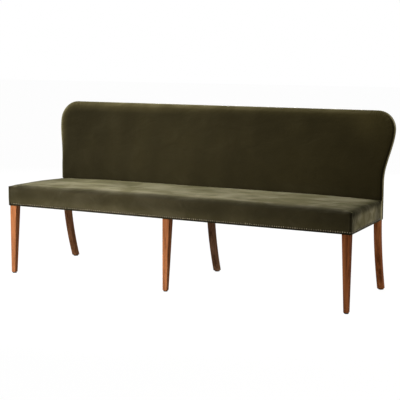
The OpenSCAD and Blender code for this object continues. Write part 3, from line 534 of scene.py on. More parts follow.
def seatTopPoints(across, deep):
    # across: distance from the left end, deep: distance from the front
    look = seatLook
    depth = bench["seatRear"] - bench["frontY"]
    a, e = np.meshgrid(across, deep, indexing="ij")
    y = bench["frontY"] + e
    half = seatHalf(y)
    whole, kept = across[-1], look["squeezed"]
    side = np.where(a < whole / 2, -1.0, 1.0)
    d = np.where(a < whole / 2, a, whole - a)
    f = np.minimum(e, depth - e)
    toward = np.where(e < depth / 2, 1.0, -1.0)
    # the columns are laid out on the front's length and squeezed where the seat tapers
    d = np.where(d > kept, kept + (d - kept) * (half - kept) / (whole / 2 - kept), d)
    x = side * (half - d - cornerBend(d, f, look["cornerR"]))
    yy = y + toward * cornerBend(f, d, look["cornerR"])
    peak = bench["frontY"] + look["peak"]
    endness = (np.abs(x) / half) ** 5
    behind = np.clip(y - peak, 0, None) / (bench["seatRear"] - peak)
    top = bench["seatTop"] - look["crown"] * endness
    top = top - look["rearFall"] * (1 + 0.5 * endness) * behind ** 2
    wall = bench["wallTop"] + look["cornerRise"] * bump(d, 0.035) * bump(e, 0.090)
    wall = wall + look["rearRise"] * bump(d, 0.050) * bump(depth - e, 0.013)
    z = wall + (top - wall) * rollUp(d, look["endRoll"]) \
        * rollUp(e, look["frontRoll"]) * rollUp(depth - e, look["rearRoll"])
    return np.stack([x, yy, z], -1)


def rollStations(radius, cells):
    # stations that are evenly spread round a quarter circle
    return radius * (1 - np.cos(np.linspace(0, math.pi / 2, cells + 1)))


def seatStations():
    # lines of points along the seat and from front to back
    look = seatLook
    length = 2 * bench["seatHalf"]
    ends = rollStations(look["endRoll"], 16)
    middle = spread(length - 2 * look["endRoll"], 0.0032, 0.0105, 0.05) + look["endRoll"]
    across = np.concatenate([ends[:-1], middle, (length - ends[:-1])[::-1]])
    depth = bench["seatRear"] - bench["frontY"]
    front = rollStations(look["frontRoll"], 22)
    rear = rollStations(look["rearRoll"], 8)
    inner = spread(depth - look["frontRoll"] - look["rearRoll"], 0.0036, 0.0095, 0.03)
    deep = np.concatenate([front[:-1], inner + look["frontRoll"], (depth - rear[:-1])[::-1]])
    return across, deep


def planNormals(loop):
    # outward directions along a closed outline in plan
    along = np.roll(loop, -1, 0) - np.roll(loop, 1, 0)
    outward = np.stack([along[:, 1], -along[:, 0]], 1)
    return outward / np.maximum(np.linalg.norm(outward, axis=1, keepdims=True), 1e-9)


def makeSeat():
    look = seatLook
    top = seatTopPoints(*seatStations())
    shell = Shell(top)
    rim = shell.points[0][shell.loop]
    outward = planNormals(rim[:, :2])
    # the rear part ends at the foam's underside, the rest at the rail's
    rearShare = smooth((rim[:, 1] - (bench["seatRear"] - 0.0012)) / 0.001) \
        * smooth((seatHalf(bench["seatRear"]) - 0.004 - np.abs(rim[:, 0])) / 0.006)
    foot = bench["railZ"] + (bench["foamZ"] - bench["railZ"]) * rearShare
    frontness = smooth(-outward[:, 1])
    inward = look["frontThick"] * frontness + look["endThick"] * (1 - frontness)
    inward = np.where(rearShare > 0.01, look["rearThick"], inward)
    for k in range(1, look["wallRings"] + 1):
        z = rim[:, 2] + (foot - rim[:, 2]) * (k / look["wallRings"])
        drawn = look["drawIn"] * smooth((look["drawBelow"] - z) / 0.040) * (1 - rearShare)
        drawn = drawn + look["hemIn"] * smooth((look["hemBelow"] - z) / 0.003)
        xy = rim[:, :2] - outward * drawn[:, None]
        shell.addRing(np.column_stack([xy, z]))
    lip = rim[:, :2] - outward * (look["drawIn"] + look["lipIn"])
    shell.addRing(np.column_stack([lip, foot + 0.0001]))
    inner = rim[:, :2] - outward * inward[:, None]
    shell.addRing(np.column_stack([inner, foot + 0.0004]))
    shell.addRing(np.column_stack([inner, np.maximum(foot, look["hemTop"])]), 1)
    shell.addRing(np.column_stack([inner, np.full(len(inner), bench["foamZ"])]), 1)
    # flat underside
    below = np.array(top)
    below[..., 0] *= 0.99
    below[..., 1] = np.clip(below[..., 1], bench["frontY"] + 0.006, bench["seatRear"] - 0.004)
    below[..., 2] = bench["foamZ"]
    shell.close(below.reshape(-1, 3), 1)
    return shell.build("seatUpholstery", [velvet, wadding])


def endFolds(fromFront, z):
    # upright folds in the ends, with a sway
    return waves(fromFront, 0.026, 1.1 * np.sin(z * 70))


def seatRelief(points, normals):
    look = seatLook
    x, y, z = points.T
    up = np.clip(normals[:, 2], 0, 1)
    outside = (z > 0.3805) & ((normals[:, 2] > 0.02) | (np.abs(x) > seatHalf(y) - 0.0045)
                             | (y < bench["frontY"] + 0.0026))
    move = look["unevenTop"] * ripple(points, 0.34, 3) * up
    move += look["unevenTop"] * 0.35 * ripple(points, 0.09, 5) * up
    face = smooth((z - 0.386) / 0.05) * (1 - up)
    move += look["unevenFace"] * ripple(points, 0.12, 7) * face
    # the nails pull small dimples
    nailBand = bump(z - look["nailZ"], 0.0055) * (1 - up)
    onFront = smooth(-normals[:, 1] * 1.3)
    fromFront = y - bench["frontY"]
    wave = 0.5 + 0.5 * np.cos((x + look["nailFirstX"]) / look["nailPitchFront"] * 2 * math.pi)
    waveEnd = 0.5 + 0.5 * np.cos((fromFront - look["nailFirstDeep"]) / look["nailPitchEnd"] * 2 * math.pi)
    move -= look["nailDimple"] * nailBand * (wave * onFront + waveEnd * (1 - onFront))
    # folded corners at the front
    fromEnd = seatHalf(y) - np.abs(x)
    along = fromEnd - fromFront
    inside = np.minimum(fromEnd, fromFront)
    near = smooth(1 - np.clip(inside - 0.004, 0, None) / 0.026)
    crease = -look["pleatDeep"] * bump(along - 0.0060, 0.0016)
    crease += 0.0009 * bump(along - 0.0105, 0.0035) + 0.0008 * bump(along - 0.0012, 0.0030)
    move += crease * near
    # a swelling beside the fold and a hollow behind it
    swelling = bump(fromEnd - 0.030, 0.018) * bump(fromFront - 0.014, 0.014)
    hollow = bump(fromEnd - 0.006, 0.010) * bump(fromFront - 0.021, 0.012)
    move += 0.0014 * swelling * smooth((z - 0.45) / 0.03)
    move -= 0.0026 * hollow * smooth((z - 0.45) / 0.02)
    # upright folds on the ends, towards the back
    endFace = smooth((np.abs(normals[:, 0]) - 0.3) / 0.4)
    folds = endFolds(fromFront, z) * bump(fromFront - 0.385, 0.060)
    move += 0.0007 * folds * endFace * smooth((z - 0.405) / 0.05)
    slant = waves(fromFront - (z - bench["railZ"]) * 0.7, 0.033)
    move += 0.0005 * slant * endFace * bump(fromFront - 0.045, 0.045) * smooth((z - 0.40) / 0.04)
    # light drag lines that run in from the front roll
    drag = waves(x, 0.047, 2.2 * np.sin(x * 9.1)) * bump(fromFront - 0.030, 0.022)
    move += 0.00022 * drag * smooth((z - 0.44) / 0.03)
    return np.where(outside, move, 0)


def seatLightAndNap(points, normals):
    x, y, z = points.T
    up = smooth((normals[:, 2] - 0.1) / 0.8)
    fromEnd = np.abs(seatHalf(y) - np.abs(x))
    fromFront = y - bench["frontY"]
    onEnd = smooth((np.abs(normals[:, 0]) - 0.35) / 0.4)
    # the top: pale, fading out over the front edge and the ends, darker at the rear and lighter towards the
    # right, all painted light and shade
    nearEnd = smooth((0.24 - fromEnd) / 0.18)
    top = 0.20 + 0.20 * smooth((fromFront - 0.004 - 0.022 * nearEnd) / 0.075)
    top *= 0.38 + 0.62 * smooth((fromEnd - 0.012) / 0.065)
    top *= 1 - 0.35 * bump(fromFront - (bench["seatRear"] - bench["frontY"]), 0.020)
    top *= 1 + 0.80 * smooth((x + 0.1) / 0.7)
    top += 0.08 * ripple(points * (0.6, 1.5, 1), 0.20, 41)
    # the front: painted shade darkest under the edge, painted light towards the nails
    front = 0.50 - 0.14 * nearEnd * smooth((z - 0.462) / 0.015)
    front += 0.36 * smooth((0.450 - z) / 0.055) + 0.03 * ripple(points, 0.16, 43)
    # the ends: painted shade under the edge, painted light below it
    folds = endFolds(fromFront, z) * bump(fromFront - 0.385, 0.070)
    ends = 0.38 + 0.92 * smooth((0.476 - z) / 0.030) + 0.12 * folds + 0.08 * ripple(points, 0.07, 47)
    # painted shade towards the back, beside the front corner and in two folds
    ends *= 1 - 0.50 * smooth((fromFront - 0.36) / 0.06)
    shadeWide = 0.050 + 0.110 * smooth((z - 0.395) / 0.080)
    ends *= 0.20 + 0.14 * smooth((fromFront - 0.004) / 0.020) \
        + 0.70 * smooth((fromFront - 0.020) / shadeWide)
    ends *= 1 - 0.12 * bump(fromFront - 0.080, 0.012) - 0.12 * bump(fromFront - 0.128, 0.012)
    # painted light towards the right, a painted highlight near each front corner and painted shade near the
    # ends
    front += 0.28 * smooth(x / 0.7)
    front += 0.22 * bump(fromEnd - 0.048, 0.030) * bump(z - 0.482, 0.013)
    front -= 0.15 * bump(fromEnd, 0.045)
    values = up * top + (1 - up) * (onEnd * ends + (1 - onEnd) * front)
    # a painted highlight on the swelling and painted shade in the hollow beside the folded corner, and
    # painted shade where the seat is tucked in behind
    swelling = bump(fromEnd - 0.034, 0.018) * bump(fromFront - 0.012, 0.014)
    values += 0.42 * swelling * smooth((z - 0.478) / 0.006)
    hollow = bump(fromFront - 0.034, 0.040) * smooth((0.020 - fromEnd) / 0.010)
    values *= 1 - 0.45 * hollow * smooth((z - 0.462) / 0.012)
    behind = smooth((0.052 - fromEnd) / 0.030) * smooth((fromFront - 0.448) / 0.020)
    values *= 1 - 0.92 * behind * smooth((z - 0.464) / 0.006)
    # painted shade in the folded corner, and the painted dark line between the nails
    along = fromEnd - fromFront
    inside = np.minimum(fromEnd, fromFront)
    values *= 1 - 0.36 * bump(along - 0.004, 0.006) * smooth(1 - (inside - 0.003) / 0.020)
    values *= 1 - 0.80 * smooth((seatLook["nailZ"] + 0.0062 - z) / 0.004) * (1 - up)
    return values


seat = makeSeat()
press(seat, seatRelief)
paintLightAndNap(seat, seatLightAndNap(readPoints(seat), readPoints(seat, "normal")))
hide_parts("seat_cover", "seat_wadding", "seat_foam")
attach(seat, "root")
print("seat made:", len(seat.data.polygons), "faces")


# the back's upholstery

backLook = {
    "depth": 0.048,          # front face to rear face at the rim of the crown
    "borderDeep": 0.0283,    # where the border meets the front
    "rimLow": 0.0312,
    "crown": 0.010,
    "roll": 0.022,
    "bulge": 0.0040,         # how far the rolled rim stands over the border
    "tuck": 0.006,
    "innerFace": 0.0315,     # rear of the foam
    "rings": 0.036,          # width of the ringed zone
    "gatherDeep": 0.0011,
    "gathers": 13,           # in each round corner
    "uneven": 0.0010,
    "bendZ": 0.555,          # the back leaves the upright here
    "bendLong": 0.100,
    "flareZ": 0.590,         # and starts to widen here
}


def leanAt(z):
    # how far the rear face lies behind its lower part
    z = np.asarray(z, dtype=float)
    low, long = backLook["bendZ"], backLook["bendLong"]
    t = np.clip(z - low, 0, long)
    return bench["lean"] * t * t / (2 * long) + bench["lean"] * np.clip(z - low - long, 0, None)


def rearAt(z):
    return bench["rearY"] + leanAt(z)


def backHalfAt(z):
    # half the back's width at a height
    z, low = np.asarray(z, dtype=float), backLook["flareZ"]
    below = bench["backHalf"] + bench["flare"] * smooth((z - low) / (bench["arcZ"] - low))
    above = bench["arcX"] + np.sqrt(np.clip(bench["arcR"] ** 2 - (z - bench["arcZ"]) ** 2, 0, None))
    return np.where(z <= bench["arcZ"], below, above)


def sideCurve(stations, off, bottom):
    # up the right side to the middle of the round corner
    straight = bench["arcZ"] - bottom
    s = np.asarray(stations)
    z = np.where(s <= straight, bottom + off + (straight - off) * s / straight, 0)
    angle = np.clip(s - straight, 0, None) / bench["arcR"]
    radius = bench["arcR"] - off
    x = np.where(s <= straight, backHalfAt(z) - off, bench["arcX"] + radius * np.cos(angle))
    z = np.where(s <= straight, z, bench["arcZ"] + radius * np.sin(angle))
    return np.stack([x, z], -1)


def topCurve(stations, off):
    # from the middle of the left corner to that of the right one
    eighth = bench["arcR"] * math.pi / 4
    whole = 2 * bench["arcX"] + 2 * eighth
    s = np.asarray(stations)
    radius = bench["arcR"] - off
    leftTurn = math.pi / 4 + np.clip(s, 0, eighth) / bench["arcR"]
    rightTurn = math.pi / 2 - np.clip(s - (whole - eighth), 0, eighth) / bench["arcR"]
    x = np.clip(s - eighth, 0, 2 * bench["arcX"]) - bench["arcX"]
    x = np.where(s < eighth, -bench["arcX"] - radius * np.cos(leftTurn), x)
    x = np.where(s > whole - eighth, bench["arcX"] + radius * np.cos(rightTurn), x)
    z = np.where(s < eighth, bench["arcZ"] + radius * np.sin(leftTurn), bench["arcZ"] + radius)
    z = np.where(s > whole - eighth, bench["arcZ"] + radius * np.sin(rightTurn), z)
    return np.stack([x, z], -1)


def shareAlong(values):
    # 0 at the first value, 1 at the last
    return (values - values[0]) / (values[-1] - values[0])


def panelCurves(acrossS, upS, off, bottom):
    # the four edges of the back's outline, moved in by off
    right = sideCurve(upS, off, bottom)
    left = right * (-1, 1)
    top = topCurve(acrossS, off)
    share = shareAlong(top[:, 0])
    low = left[0, 0] + share * (right[0, 0] - left[0, 0])
    floor = np.stack([low, np.full(len(share), right[0, 1])], -1)
    return left, right, top, floor


def coonsPatch(left, right, top, floor):
    # the shares follow the curves' own spacing, which keeps the lines even
    u = shareAlong(top[:, 0])[:, None, None]
    v = shareAlong(left[:, 1])[None, :, None]
    lines = (1 - v) * floor[:, None] + v * top[:, None] + (1 - u) * left[None] + u * right[None]
    corners = (1 - u) * (1 - v) * floor[0] + u * (1 - v) * floor[-1] \
        + (1 - u) * v * top[0] + u * v * top[-1]
    return lines - corners


def ringOf(left, right, top, floor):
    # the same order as edgeLoop of the patch
    return np.concatenate([floor[:-1], right[:-1], top[:0:-1], left[:0:-1]])


def panelStations(cornerStep, farStep, bottom):
    # lengths along the top and up the sides, closely spaced in the round corners
    eighth = bench["arcR"] * math.pi / 4
    whole = 2 * bench["arcX"] + 2 * eighth
    acrossS = spread(whole, cornerStep, farStep, eighth * 1.1)
    straight = bench["arcZ"] - bottom
    rise = straight + eighth
    stations = [0.0]
    while stations[-1] < rise:
        s = stations[-1]
        near = float(smooth((rise - s - eighth) / 0.08)) * float(smooth((s - 0.004) / 0.05))
        stations.append(s + cornerStep + (farStep * 0.62 - cornerStep) * near)
    upS = np.array(stations) * rise / stations[-1]
    return acrossS, upS


def backDepth(x, z, edge, rise):
    # distance in front of the rear face, for a point that far inside the rim and above the bottom
    look = backLook
    half = backHalfAt(np.minimum(z, bench["arcZ"]))
    up = np.clip((z - bench["panelZ"]) / (bench["backTop"] - bench["panelZ"]), 0, 1)
    swell = look["crown"] * (1 - np.clip(np.abs(x) / half, 0, 1) ** 6)
    swell = swell * (1 - up ** 4) * smooth((z - 0.494) / 0.06)
    shape = rollUp(edge, look["roll"]) * rollUp(rise, look["tuck"])
    least = np.where(rise < 0.0005, look["rimLow"], look["borderDeep"])
    return np.maximum(least, look["borderDeep"] + (look["depth"] - look["borderDeep"] + swell) * shape)


def edgeDistance(x, z):
    # how far a point lies inside the back's outline
    ax = np.abs(x)
    inCorner = (ax > bench["arcX"]) & (z > bench["arcZ"])
    corner = bench["arcR"] - np.hypot(ax - bench["arcX"], z - bench["arcZ"])
    straight = np.minimum(backHalfAt(np.minimum(z, bench["arcZ"])) - ax, bench["backTop"] - z)
    return np.where(inCorner, corner, straight)


def inFront(xz, deep):
    # points of the outline's plane, as far in front of the rear face as deep says
    return np.column_stack([xz[:, 0], rearAt(xz[:, 1]) - deep, xz[:, 1]])


def makeBack():
    look = backLook
    bottom, zone = bench["panelZ"], look["rings"]
    acrossS, upS = panelStations(0.0030, 0.0105, bottom)
    patch = coonsPatch(*panelCurves(acrossS, upS, zone, bottom))
    flat = patch.reshape(-1, 2)

    def raised(xz):
        x, z = xz.T
        return inFront(xz, backDepth(x, z, edgeDistance(x, z), z - bottom))

    def ringAt(off):
        return ringOf(*panelCurves(acrossS, upS, off, bottom))

    shell = Shell(raised(flat).reshape(*patch.shape[:2], 3))
    flatOffs = np.linspace(zone, look["roll"], 5)[1:-1]
    rollOffs = look["roll"] * (1 - np.cos(np.linspace(math.pi / 2, 0, 17)))
    isFloor = np.arange(len(shell.loop)) < shell.count - 1
    for off in list(flatOffs) + list(rollOffs):
        ring = ringAt(off)
        lifted = raised(ring)
        # the rolled rim stands over the border a little
        rise = float(rollUp(off, look["roll"]))
        out = look["bulge"] * 6.75 * rise * (1 - rise) ** 2
        wider = ringAt(off - out)
        over = ~isFloor & (ring[:, 1] > bottom + 0.008)
        lifted[over, 0], lifted[over, 2] = wider[over, 0], wider[over, 1]
        shell.addRing(lifted)
    # under the border, and back to the foam's rear
    for off, back in ((0.0012, 0.0006), (0.0030, -0.0014), (0.0048, -0.0030)):
        deep = np.where(isFloor, look["innerFace"], look["borderDeep"] - back)
        shell.addRing(inFront(ringAt(off), deep), 0 if back > 0 else 1)
    shell.addRing(inFront(ringAt(zone), look["innerFace"]), 1)
    shell.close(inFront(flat, look["innerFace"]), 1)
    return shell.build("backUpholstery", [backVelvet, wadding])


def cornerTurn(x, z):
    # 0 at the side, 1 at the top of a round corner
    return np.arctan2(z - bench["arcZ"], np.abs(x) - bench["arcX"]) / (math.pi / 2)


def gatherWave(x, z, seed):
    # gathers that fan out in the round corners
    rng = np.random.default_rng(seed)
    turn = cornerTurn(x, z)
    inTurn = smooth((turn + 0.18) / 0.18) * smooth((1.18 - turn) / 0.18)
    inTurn = inTurn * (np.abs(x) > bench["arcX"] - 0.03) * (z > bench["arcZ"] - 0.03)
    phase = rng.uniform(0, 2 * math.pi, 3)
    wave = np.cos(turn * backLook["gathers"] * 2 * math.pi)
    wave += 0.5 * np.cos(turn * 5.0 * 2 * math.pi + phase[0])
    wave += 0.3 * np.sin(turn * 21 * 2 * math.pi + phase[1])
    return wave * inTurn


def backRelief(points, normals):
    look = backLook
    x, y, z = points.T
    facing = np.clip(-normals[:, 1], 0, 1)
    outside = rearAt(z) - y > look["borderDeep"] - 0.0008
    outside &= normals[:, 1] < 0.05
    edge = edgeDistance(x, z)
    move = look["uneven"] * ripple(points, 0.30, 11) * facing * smooth(edge / 0.05)
    move += look["uneven"] * 0.35 * ripple(points * (1, 1, 0.35), 0.075, 13) * facing * smooth(edge / 0.03)
    # gathers in the round corners run in from the rim
    strength = smooth(1 - edge / 0.050) * smooth(edge / 0.003 + 0.35)
    move += look["gatherDeep"] * gatherWave(x, z, 17) * strength * 0.6
    # short pleats along the top: where they start, how they slant, how deep they are
    for place, slope, deep in ((-0.905, 0.5, 0.0015), (-0.845, -0.4, 0.0008), (0.900, -0.5, 0.0013),
                               (0.40, 0.2, 0.0004), (-0.31, -0.2, 0.0004)):
        away = x - place - slope * (bench["backTop"] - z)
        pleat = bump(away, 0.0026) - 0.6 * bump(away + 0.006, 0.004)
        move -= deep * pleat * smooth(1 - edge / 0.040) * smooth((z - 0.86) / 0.03)
    # pull lines above the seat
    low = smooth(1 - (z - bench["panelZ"]) / 0.10) * facing
    move += 0.0004 * waves(x, 0.083, 1.7 * np.sin(x * 5.3)) * low
    return np.where(outside, move, 0)


def backLightAndNap(points):
    x, y, z = points.T
    edge = edgeDistance(x, z)
    # painted light: lighter towards the right
    values = 0.22 + 0.18 * smooth(x + 1.0) + 0.26 * smooth((x - 0.1) / 0.6)
    values += 0.035 * ripple(points * (1, 1, 0.22), 0.13, 51)
    # painted light on the rolled rim where it turns up or to the left, and less of it on the right
    toLeft = smooth(-x / 0.4) * smooth((z - 0.60) / 0.2)
    upper = smooth(1 - (bench["backTop"] - z) / 0.060)
    values += 0.80 * smooth(1 - edge / 0.060) * np.maximum(upper, toLeft)
    # painted light along the rim on the right, and a painted highlight on the upper right corner
    onRight = smooth((x - 0.5) / 0.3)
    values += 0.24 * smooth(1 - edge / 0.120) * onRight * smooth((z - 0.62) / 0.12)
    values += 0.75 * bump(np.hypot(x - 0.90, z - 0.875), 0.090)    # the upper right corner
    # painted shade in a dark line along its edge on the right, and painted light and shade on the gathers in
    # the round corners
    crease = bump(edge - 0.0030, 0.0032) * smooth((bench["backTop"] - 0.012 - z) / 0.03)
    values -= 0.85 * crease * smooth(x / 0.4)
    values += 0.10 * gatherWave(x, z, 17) * smooth(1 - edge / 0.040)
    # painted shade in the crease against the border and above the seat
    deep = rearAt(z) - y
    values *= 1 - 0.9 * smooth((backLook["borderDeep"] + 0.0012 - deep) / 0.0010)
    values *= 1 - 0.35 * smooth(1 - (z - bench["panelZ"] - 0.004) / 0.035)
    return values


back = makeBack()
press(back, backRelief)
paintLightAndNap(back, backLightAndNap(readPoints(back)))
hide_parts("inside_back_cover", "back_wadding", "back_foam")
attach(back, "root")
print("back made:", len(back.data.polygons), "faces")


# the border round the back

borderLook = {
    "low": 0.382,
    "frontDeep": 0.0280,     # its front edge, in front of the rear face
    "frontDeepLow": 0.0477,  # and beside the seat
    "wideBelow": 0.4810,     # which is below this height
    "rearDeep": 0.0018,
    "thick": 0.0015,
    "crown": 0.0014,
    "step": 0.0040,
    "turnIn": 0.0026,        # how far its front edge goes under the rim
    "rearTurnIn": 0.0010,    # and how far its rear edge turns in
    "dimple": 0.0006,
    "wrinkle": 0.0003,
    "gather": 0.0004,
    "nailDeep": 0.0090,      # nails in front of the rear face
    "nailWide": 0.0040,      # how far a nail dents the border round it
    "nailOut": 0.0001,
    "nailsSide": 36,         # nails up each side, in each corner and along the top
    "nailsCorner": 13,
    "nailsTop": 153,
    "nailLow": 0.390,        # the lowest one
    "nailTopRun": 1.834,     # from the first to the last along the top
}


def outlinePath(step, low):
    # up the right side, over the top and down the left: points, outward normals, lengths
    arcX, arcZ, arcR = bench["arcX"], bench["arcZ"], bench["arcR"]
    upZ = np.linspace(low, arcZ, int((arcZ - low) / step) + 1)
    turns = np.linspace(0, math.pi / 2, int(arcR * math.pi / 2 / step) + 1)[1:]
    across = np.linspace(arcX, 0, int(arcX / (step * 1.6)) + 1)[1:]
    right = np.concatenate([
        np.stack([backHalfAt(upZ), upZ], -1),
        np.stack([arcX + arcR * np.cos(turns), arcZ + arcR * np.sin(turns)], -1),
        np.stack([across, np.full(len(across), bench["backTop"])], -1)])
    path = np.concatenate([right, right[-2::-1] * (-1, 1)])
    along = np.gradient(path, axis=0)
    outward = np.stack([along[:, 1], -along[:, 0]], -1)
    outward /= np.linalg.norm(outward, axis=1, keepdims=True)
    lengths = np.concatenate([[0], np.cumsum(np.linalg.norm(np.diff(path, axis=0), axis=1))])
    return path, outward, lengths


def backNailPath():
    # the same places as the frame's nails: x, z and the direction that each faces
    look = borderLook
    out, run = look["nailOut"], bench["arcZ"] - look["nailLow"]
    heights = look["nailLow"] + run * np.arange(look["nailsSide"]) / look["nailsSide"]
    side = [(float(backHalfAt(z)) + out, z, 1.0, 0.0) for z in heights]
    radius = bench["arcR"] + out
    for k in range(look["nailsCorner"]):
        turn = math.pi / 2 * k / look["nailsCorner"]
        nx, nz = math.cos(turn), math.sin(turn)
        side.append((bench["arcX"] + radius * nx, bench["arcZ"] + radius * nz, nx, nz))
    pitch = look["nailTopRun"] / (look["nailsTop"] - 1)
    top = [(-bench["arcX"] + pitch * k, bench["backTop"] + out, 0.0, 1.0) for k in range(look["nailsTop"])]
    return side + top + [(-x, z, -nx, nz) for x, z, nx, nz in side]


def makeBorder():
    look = borderLook
    path, outward, lengths = outlinePath(look["step"], look["low"])
    # places across its width, from the front edge to the rear one
    shares = (0, 0.02, 0.06, 0.13, 0.24, 0.36, 0.48, 0.57, 0.63, 0.68, 0.74, 0.82, 0.90, 0.96, 0.99, 1.0)
    x, z = path.T
    widened = smooth((look["wideBelow"] - z) / 0.004)
    front = look["frontDeep"] + (look["frontDeepLow"] - look["frontDeep"]) * widened
    nails = np.array(backNailPath())[:, :2]
    nearest = np.min(np.hypot(x[:, None] - nails[:, 0], z[:, None] - nails[:, 1]), axis=1)
    rings, lightAndNaps = [], []
    for share in shares:
        deep = front + (look["rearDeep"] - front) * share
        arch = math.sin(math.pi * share)
        lift = look["crown"] * arch ** 0.7 - look["turnIn"] * max(0, 1 - share / 0.06) ** 2 \
            - look["rearTurnIn"] * max(0, (share - 0.94) / 0.06) ** 2
        dimple = look["dimple"] * bump(deep - look["nailDeep"], look["nailWide"]) \
            * (0.4 + 0.6 * bump(nearest, look["nailWide"]))
        wrinkle = look["wrinkle"] * waves(lengths, 0.021, 2 * np.sin(lengths * 17)) * arch
        gather = look["gather"] * gatherWave(x, z, 17) * max(0, 1 - share * 1.6)
        xz = path + outward * (lift - dimple + wrinkle + gather)[:, None]
        rings.append(np.column_stack([xz[:, 0], rearAt(z) - deep, xz[:, 1]]))
        # painted light on its front half, painted shade round the nails
        napAndPaintedLight = (0.62 + 0.93 * smooth(share / 0.05)) * (1 - 0.75 * smooth((share - 0.46) / 0.12))
        lightAndNaps.append(napAndPaintedLight + 0.07 * waves(lengths, 0.047) + 0.05 * waves(lengths, 0.0131))
    outer, napAndPaintedLight = np.stack(rings, 1), np.stack(lightAndNaps, 1)
    shift = np.column_stack([outward[:, 0], np.zeros(len(path)), outward[:, 1]])[:, None]
    inner = outer - shift * look["thick"]
    loops = np.concatenate([outer, inner[:, ::-1]], 1)
    count, around = loops.shape[:2]
    obj = makeObject("backBorder", loops.reshape(-1, 3), tubeFaces(around, count), [borderVelvet])
    paintLightAndNap(obj, np.concatenate([napAndPaintedLight, napAndPaintedLight[:, ::-1]], 1).ravel())
    return obj, lengths[-1]


border, borderLength = makeBorder()
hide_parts("back_border_cover")
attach(border, "root")
print("border made:", len(border.data.polygons), "faces, length", round(borderLength, 3))


# the outside back

outsideLook = {
    "low": 0.382,
    "thick": 0.0015,
    "zone": 0.012,           # width of the ringed edge
    "wave": 0.0004,
    "pucker": 0.00025,
}


def makeOutsideBack():
    look = outsideLook
    bottom, thick = look["low"], look["thick"]
    acrossS, upS = panelStations(0.0050, 0.0150, bottom)
    patch = coonsPatch(*panelCurves(acrossS, upS, look["zone"], bottom))
    flat = patch.reshape(-1, 2)
    shell = Shell(inFront(flat, 0).reshape(*patch.shape[:2], 3), flip=True)
    # the edge turns over: distance inside the outline, and in front of the rear face
    for off, deep in ((0.008, 0), (0.005, 0.00002), (0.003, 0.0001), (0.0016, 0.0003), (0.0008, 0.0006),
                      (0.0004, 0.0010), (0.0004, 0.0014), (0.0010, thick), (0.004, thick)):
        shell.addRing(inFront(ringOf(*panelCurves(acrossS, upS, off, bottom)), deep))
    lid = inFront(flat, thick)
    shell.addRing(lid[shell.loop])
    shell.close(lid, 0)
    obj = shell.build("outsideBack", [backVelvet])
    co = readPoints(obj)
    edge = np.minimum(edgeDistance(co[:, 0], co[:, 2]), co[:, 2] - bottom)
    wave = look["wave"] * ripple(co * (1, 1, 0.5), 0.22, 29) * smooth(edge / 0.06)
    # held along the top by stitches, so it puckers a little there
    wave += look["pucker"] * waves(co[:, 0], 0.018) * bump(edge - 0.006, 0.006) * (co[:, 2] > 0.9)
    co[:, 1] += wave
    obj.data.vertices.foreach_set("co", co.ravel())
    obj.data.update()
    paintLightAndNap(obj, 0.68 + 0.07 * ripple(co * (1, 1, 0.25), 0.15, 61) - 0.3 * bump(edge, 0.006))
    return obj


outside = makeOutsideBack()
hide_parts("outside_back_cover")
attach(outside, "root")
print("outside back made:", len(outside.data.polygons), "faces")


# the dust cover

dustLook = {
    "inset": 0.006,          # from the frame's edges
    "endIn": 0.0085,         # where those lie, inside the seat's ends and the back's rear face
    "rearIn": 0.003,
    "thick": 0.0008,
    "sag": 0.0022,
    "room": 0.0003,          # round the legs
    "cell": 0.02,
}


def makeDustCover():
    look = dustLook
    room = look["room"]
    front, rear = bench["legY"] + look["inset"], bench["rearY"] - look["rearIn"] - look["inset"]
    # it is cut out round the legs, so its lines of points follow the cut-outs
    frontCut, rearCut = bench["legY"] + bench["legWide"] + room, bench["backLegY"] - room
    legIn, legMid = bench["legX"] - bench["legWide"] - room, bench["legWide"] / 2 + room
    backIn, backMid = bench["backLegX"] - bench["plank"] - room, bench["plank"] / 2 + room
    marks = [0.0, backMid, legMid, backIn, legIn, 1.0]
    xs = []
    for a, b in zip(marks[:-1], marks[1:]):
        n = max(1, int((b - a) / look["cell"]))
        xs += [a + (b - a) * k / n for k in range(n)]
    xs = np.array(xs + [1.0])
    xs = np.concatenate([-xs[:0:-1], xs])
    ys = np.concatenate([np.linspace(front, frontCut, 4)[:-1], np.linspace(frontCut, rearCut, 24)[:-1],
                         np.linspace(rearCut, rear, 4)])
    gx, gy = np.meshgrid(xs, ys, indexing="ij")
    half = seatHalf(gy) - look["endIn"] - look["inset"]
    x = np.where(np.abs(gx) > 0.999, np.sign(gx) * half, gx)
    deep = (gy - front) / (rear - front)
    sag = look["sag"] * np.clip(np.sin(math.pi * deep), 0, 1) * np.clip(1 - (x / 0.99) ** 8, 0, 1)
    pts = np.stack([x, gy, np.zeros_like(x)], -1).reshape(-1, 3)
    sag = sag.ravel() * (0.8 + 0.35 * ripple(pts, 0.16, 31))
    pts[:, 2] = bench["railZ"] - 0.0001 - np.clip(sag, 0, None)
    quads = gridFaces(len(xs), len(ys), flip=True)
    centre = pts[quads].mean(1)
    ax, cy = np.abs(centre[:, 0]), centre[:, 1]
    cut = (cy < frontCut) & ((ax > legIn) | (ax < legMid))
    cut |= (cy > rearCut) & ((ax > backIn) | (ax < backMid))
    obj = makeObject("dustCover", *trimmed(pts, quads[~cut]), [dustCloth])
    solid = obj.modifiers.new("thickness", "SOLIDIFY")
    solid.thickness, solid.offset = look["thick"], 1
    return applyModifiers(obj)


dust = makeDustCover()
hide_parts("dust_cover")
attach(dust, "root")
print("dust cover made")


# the legs

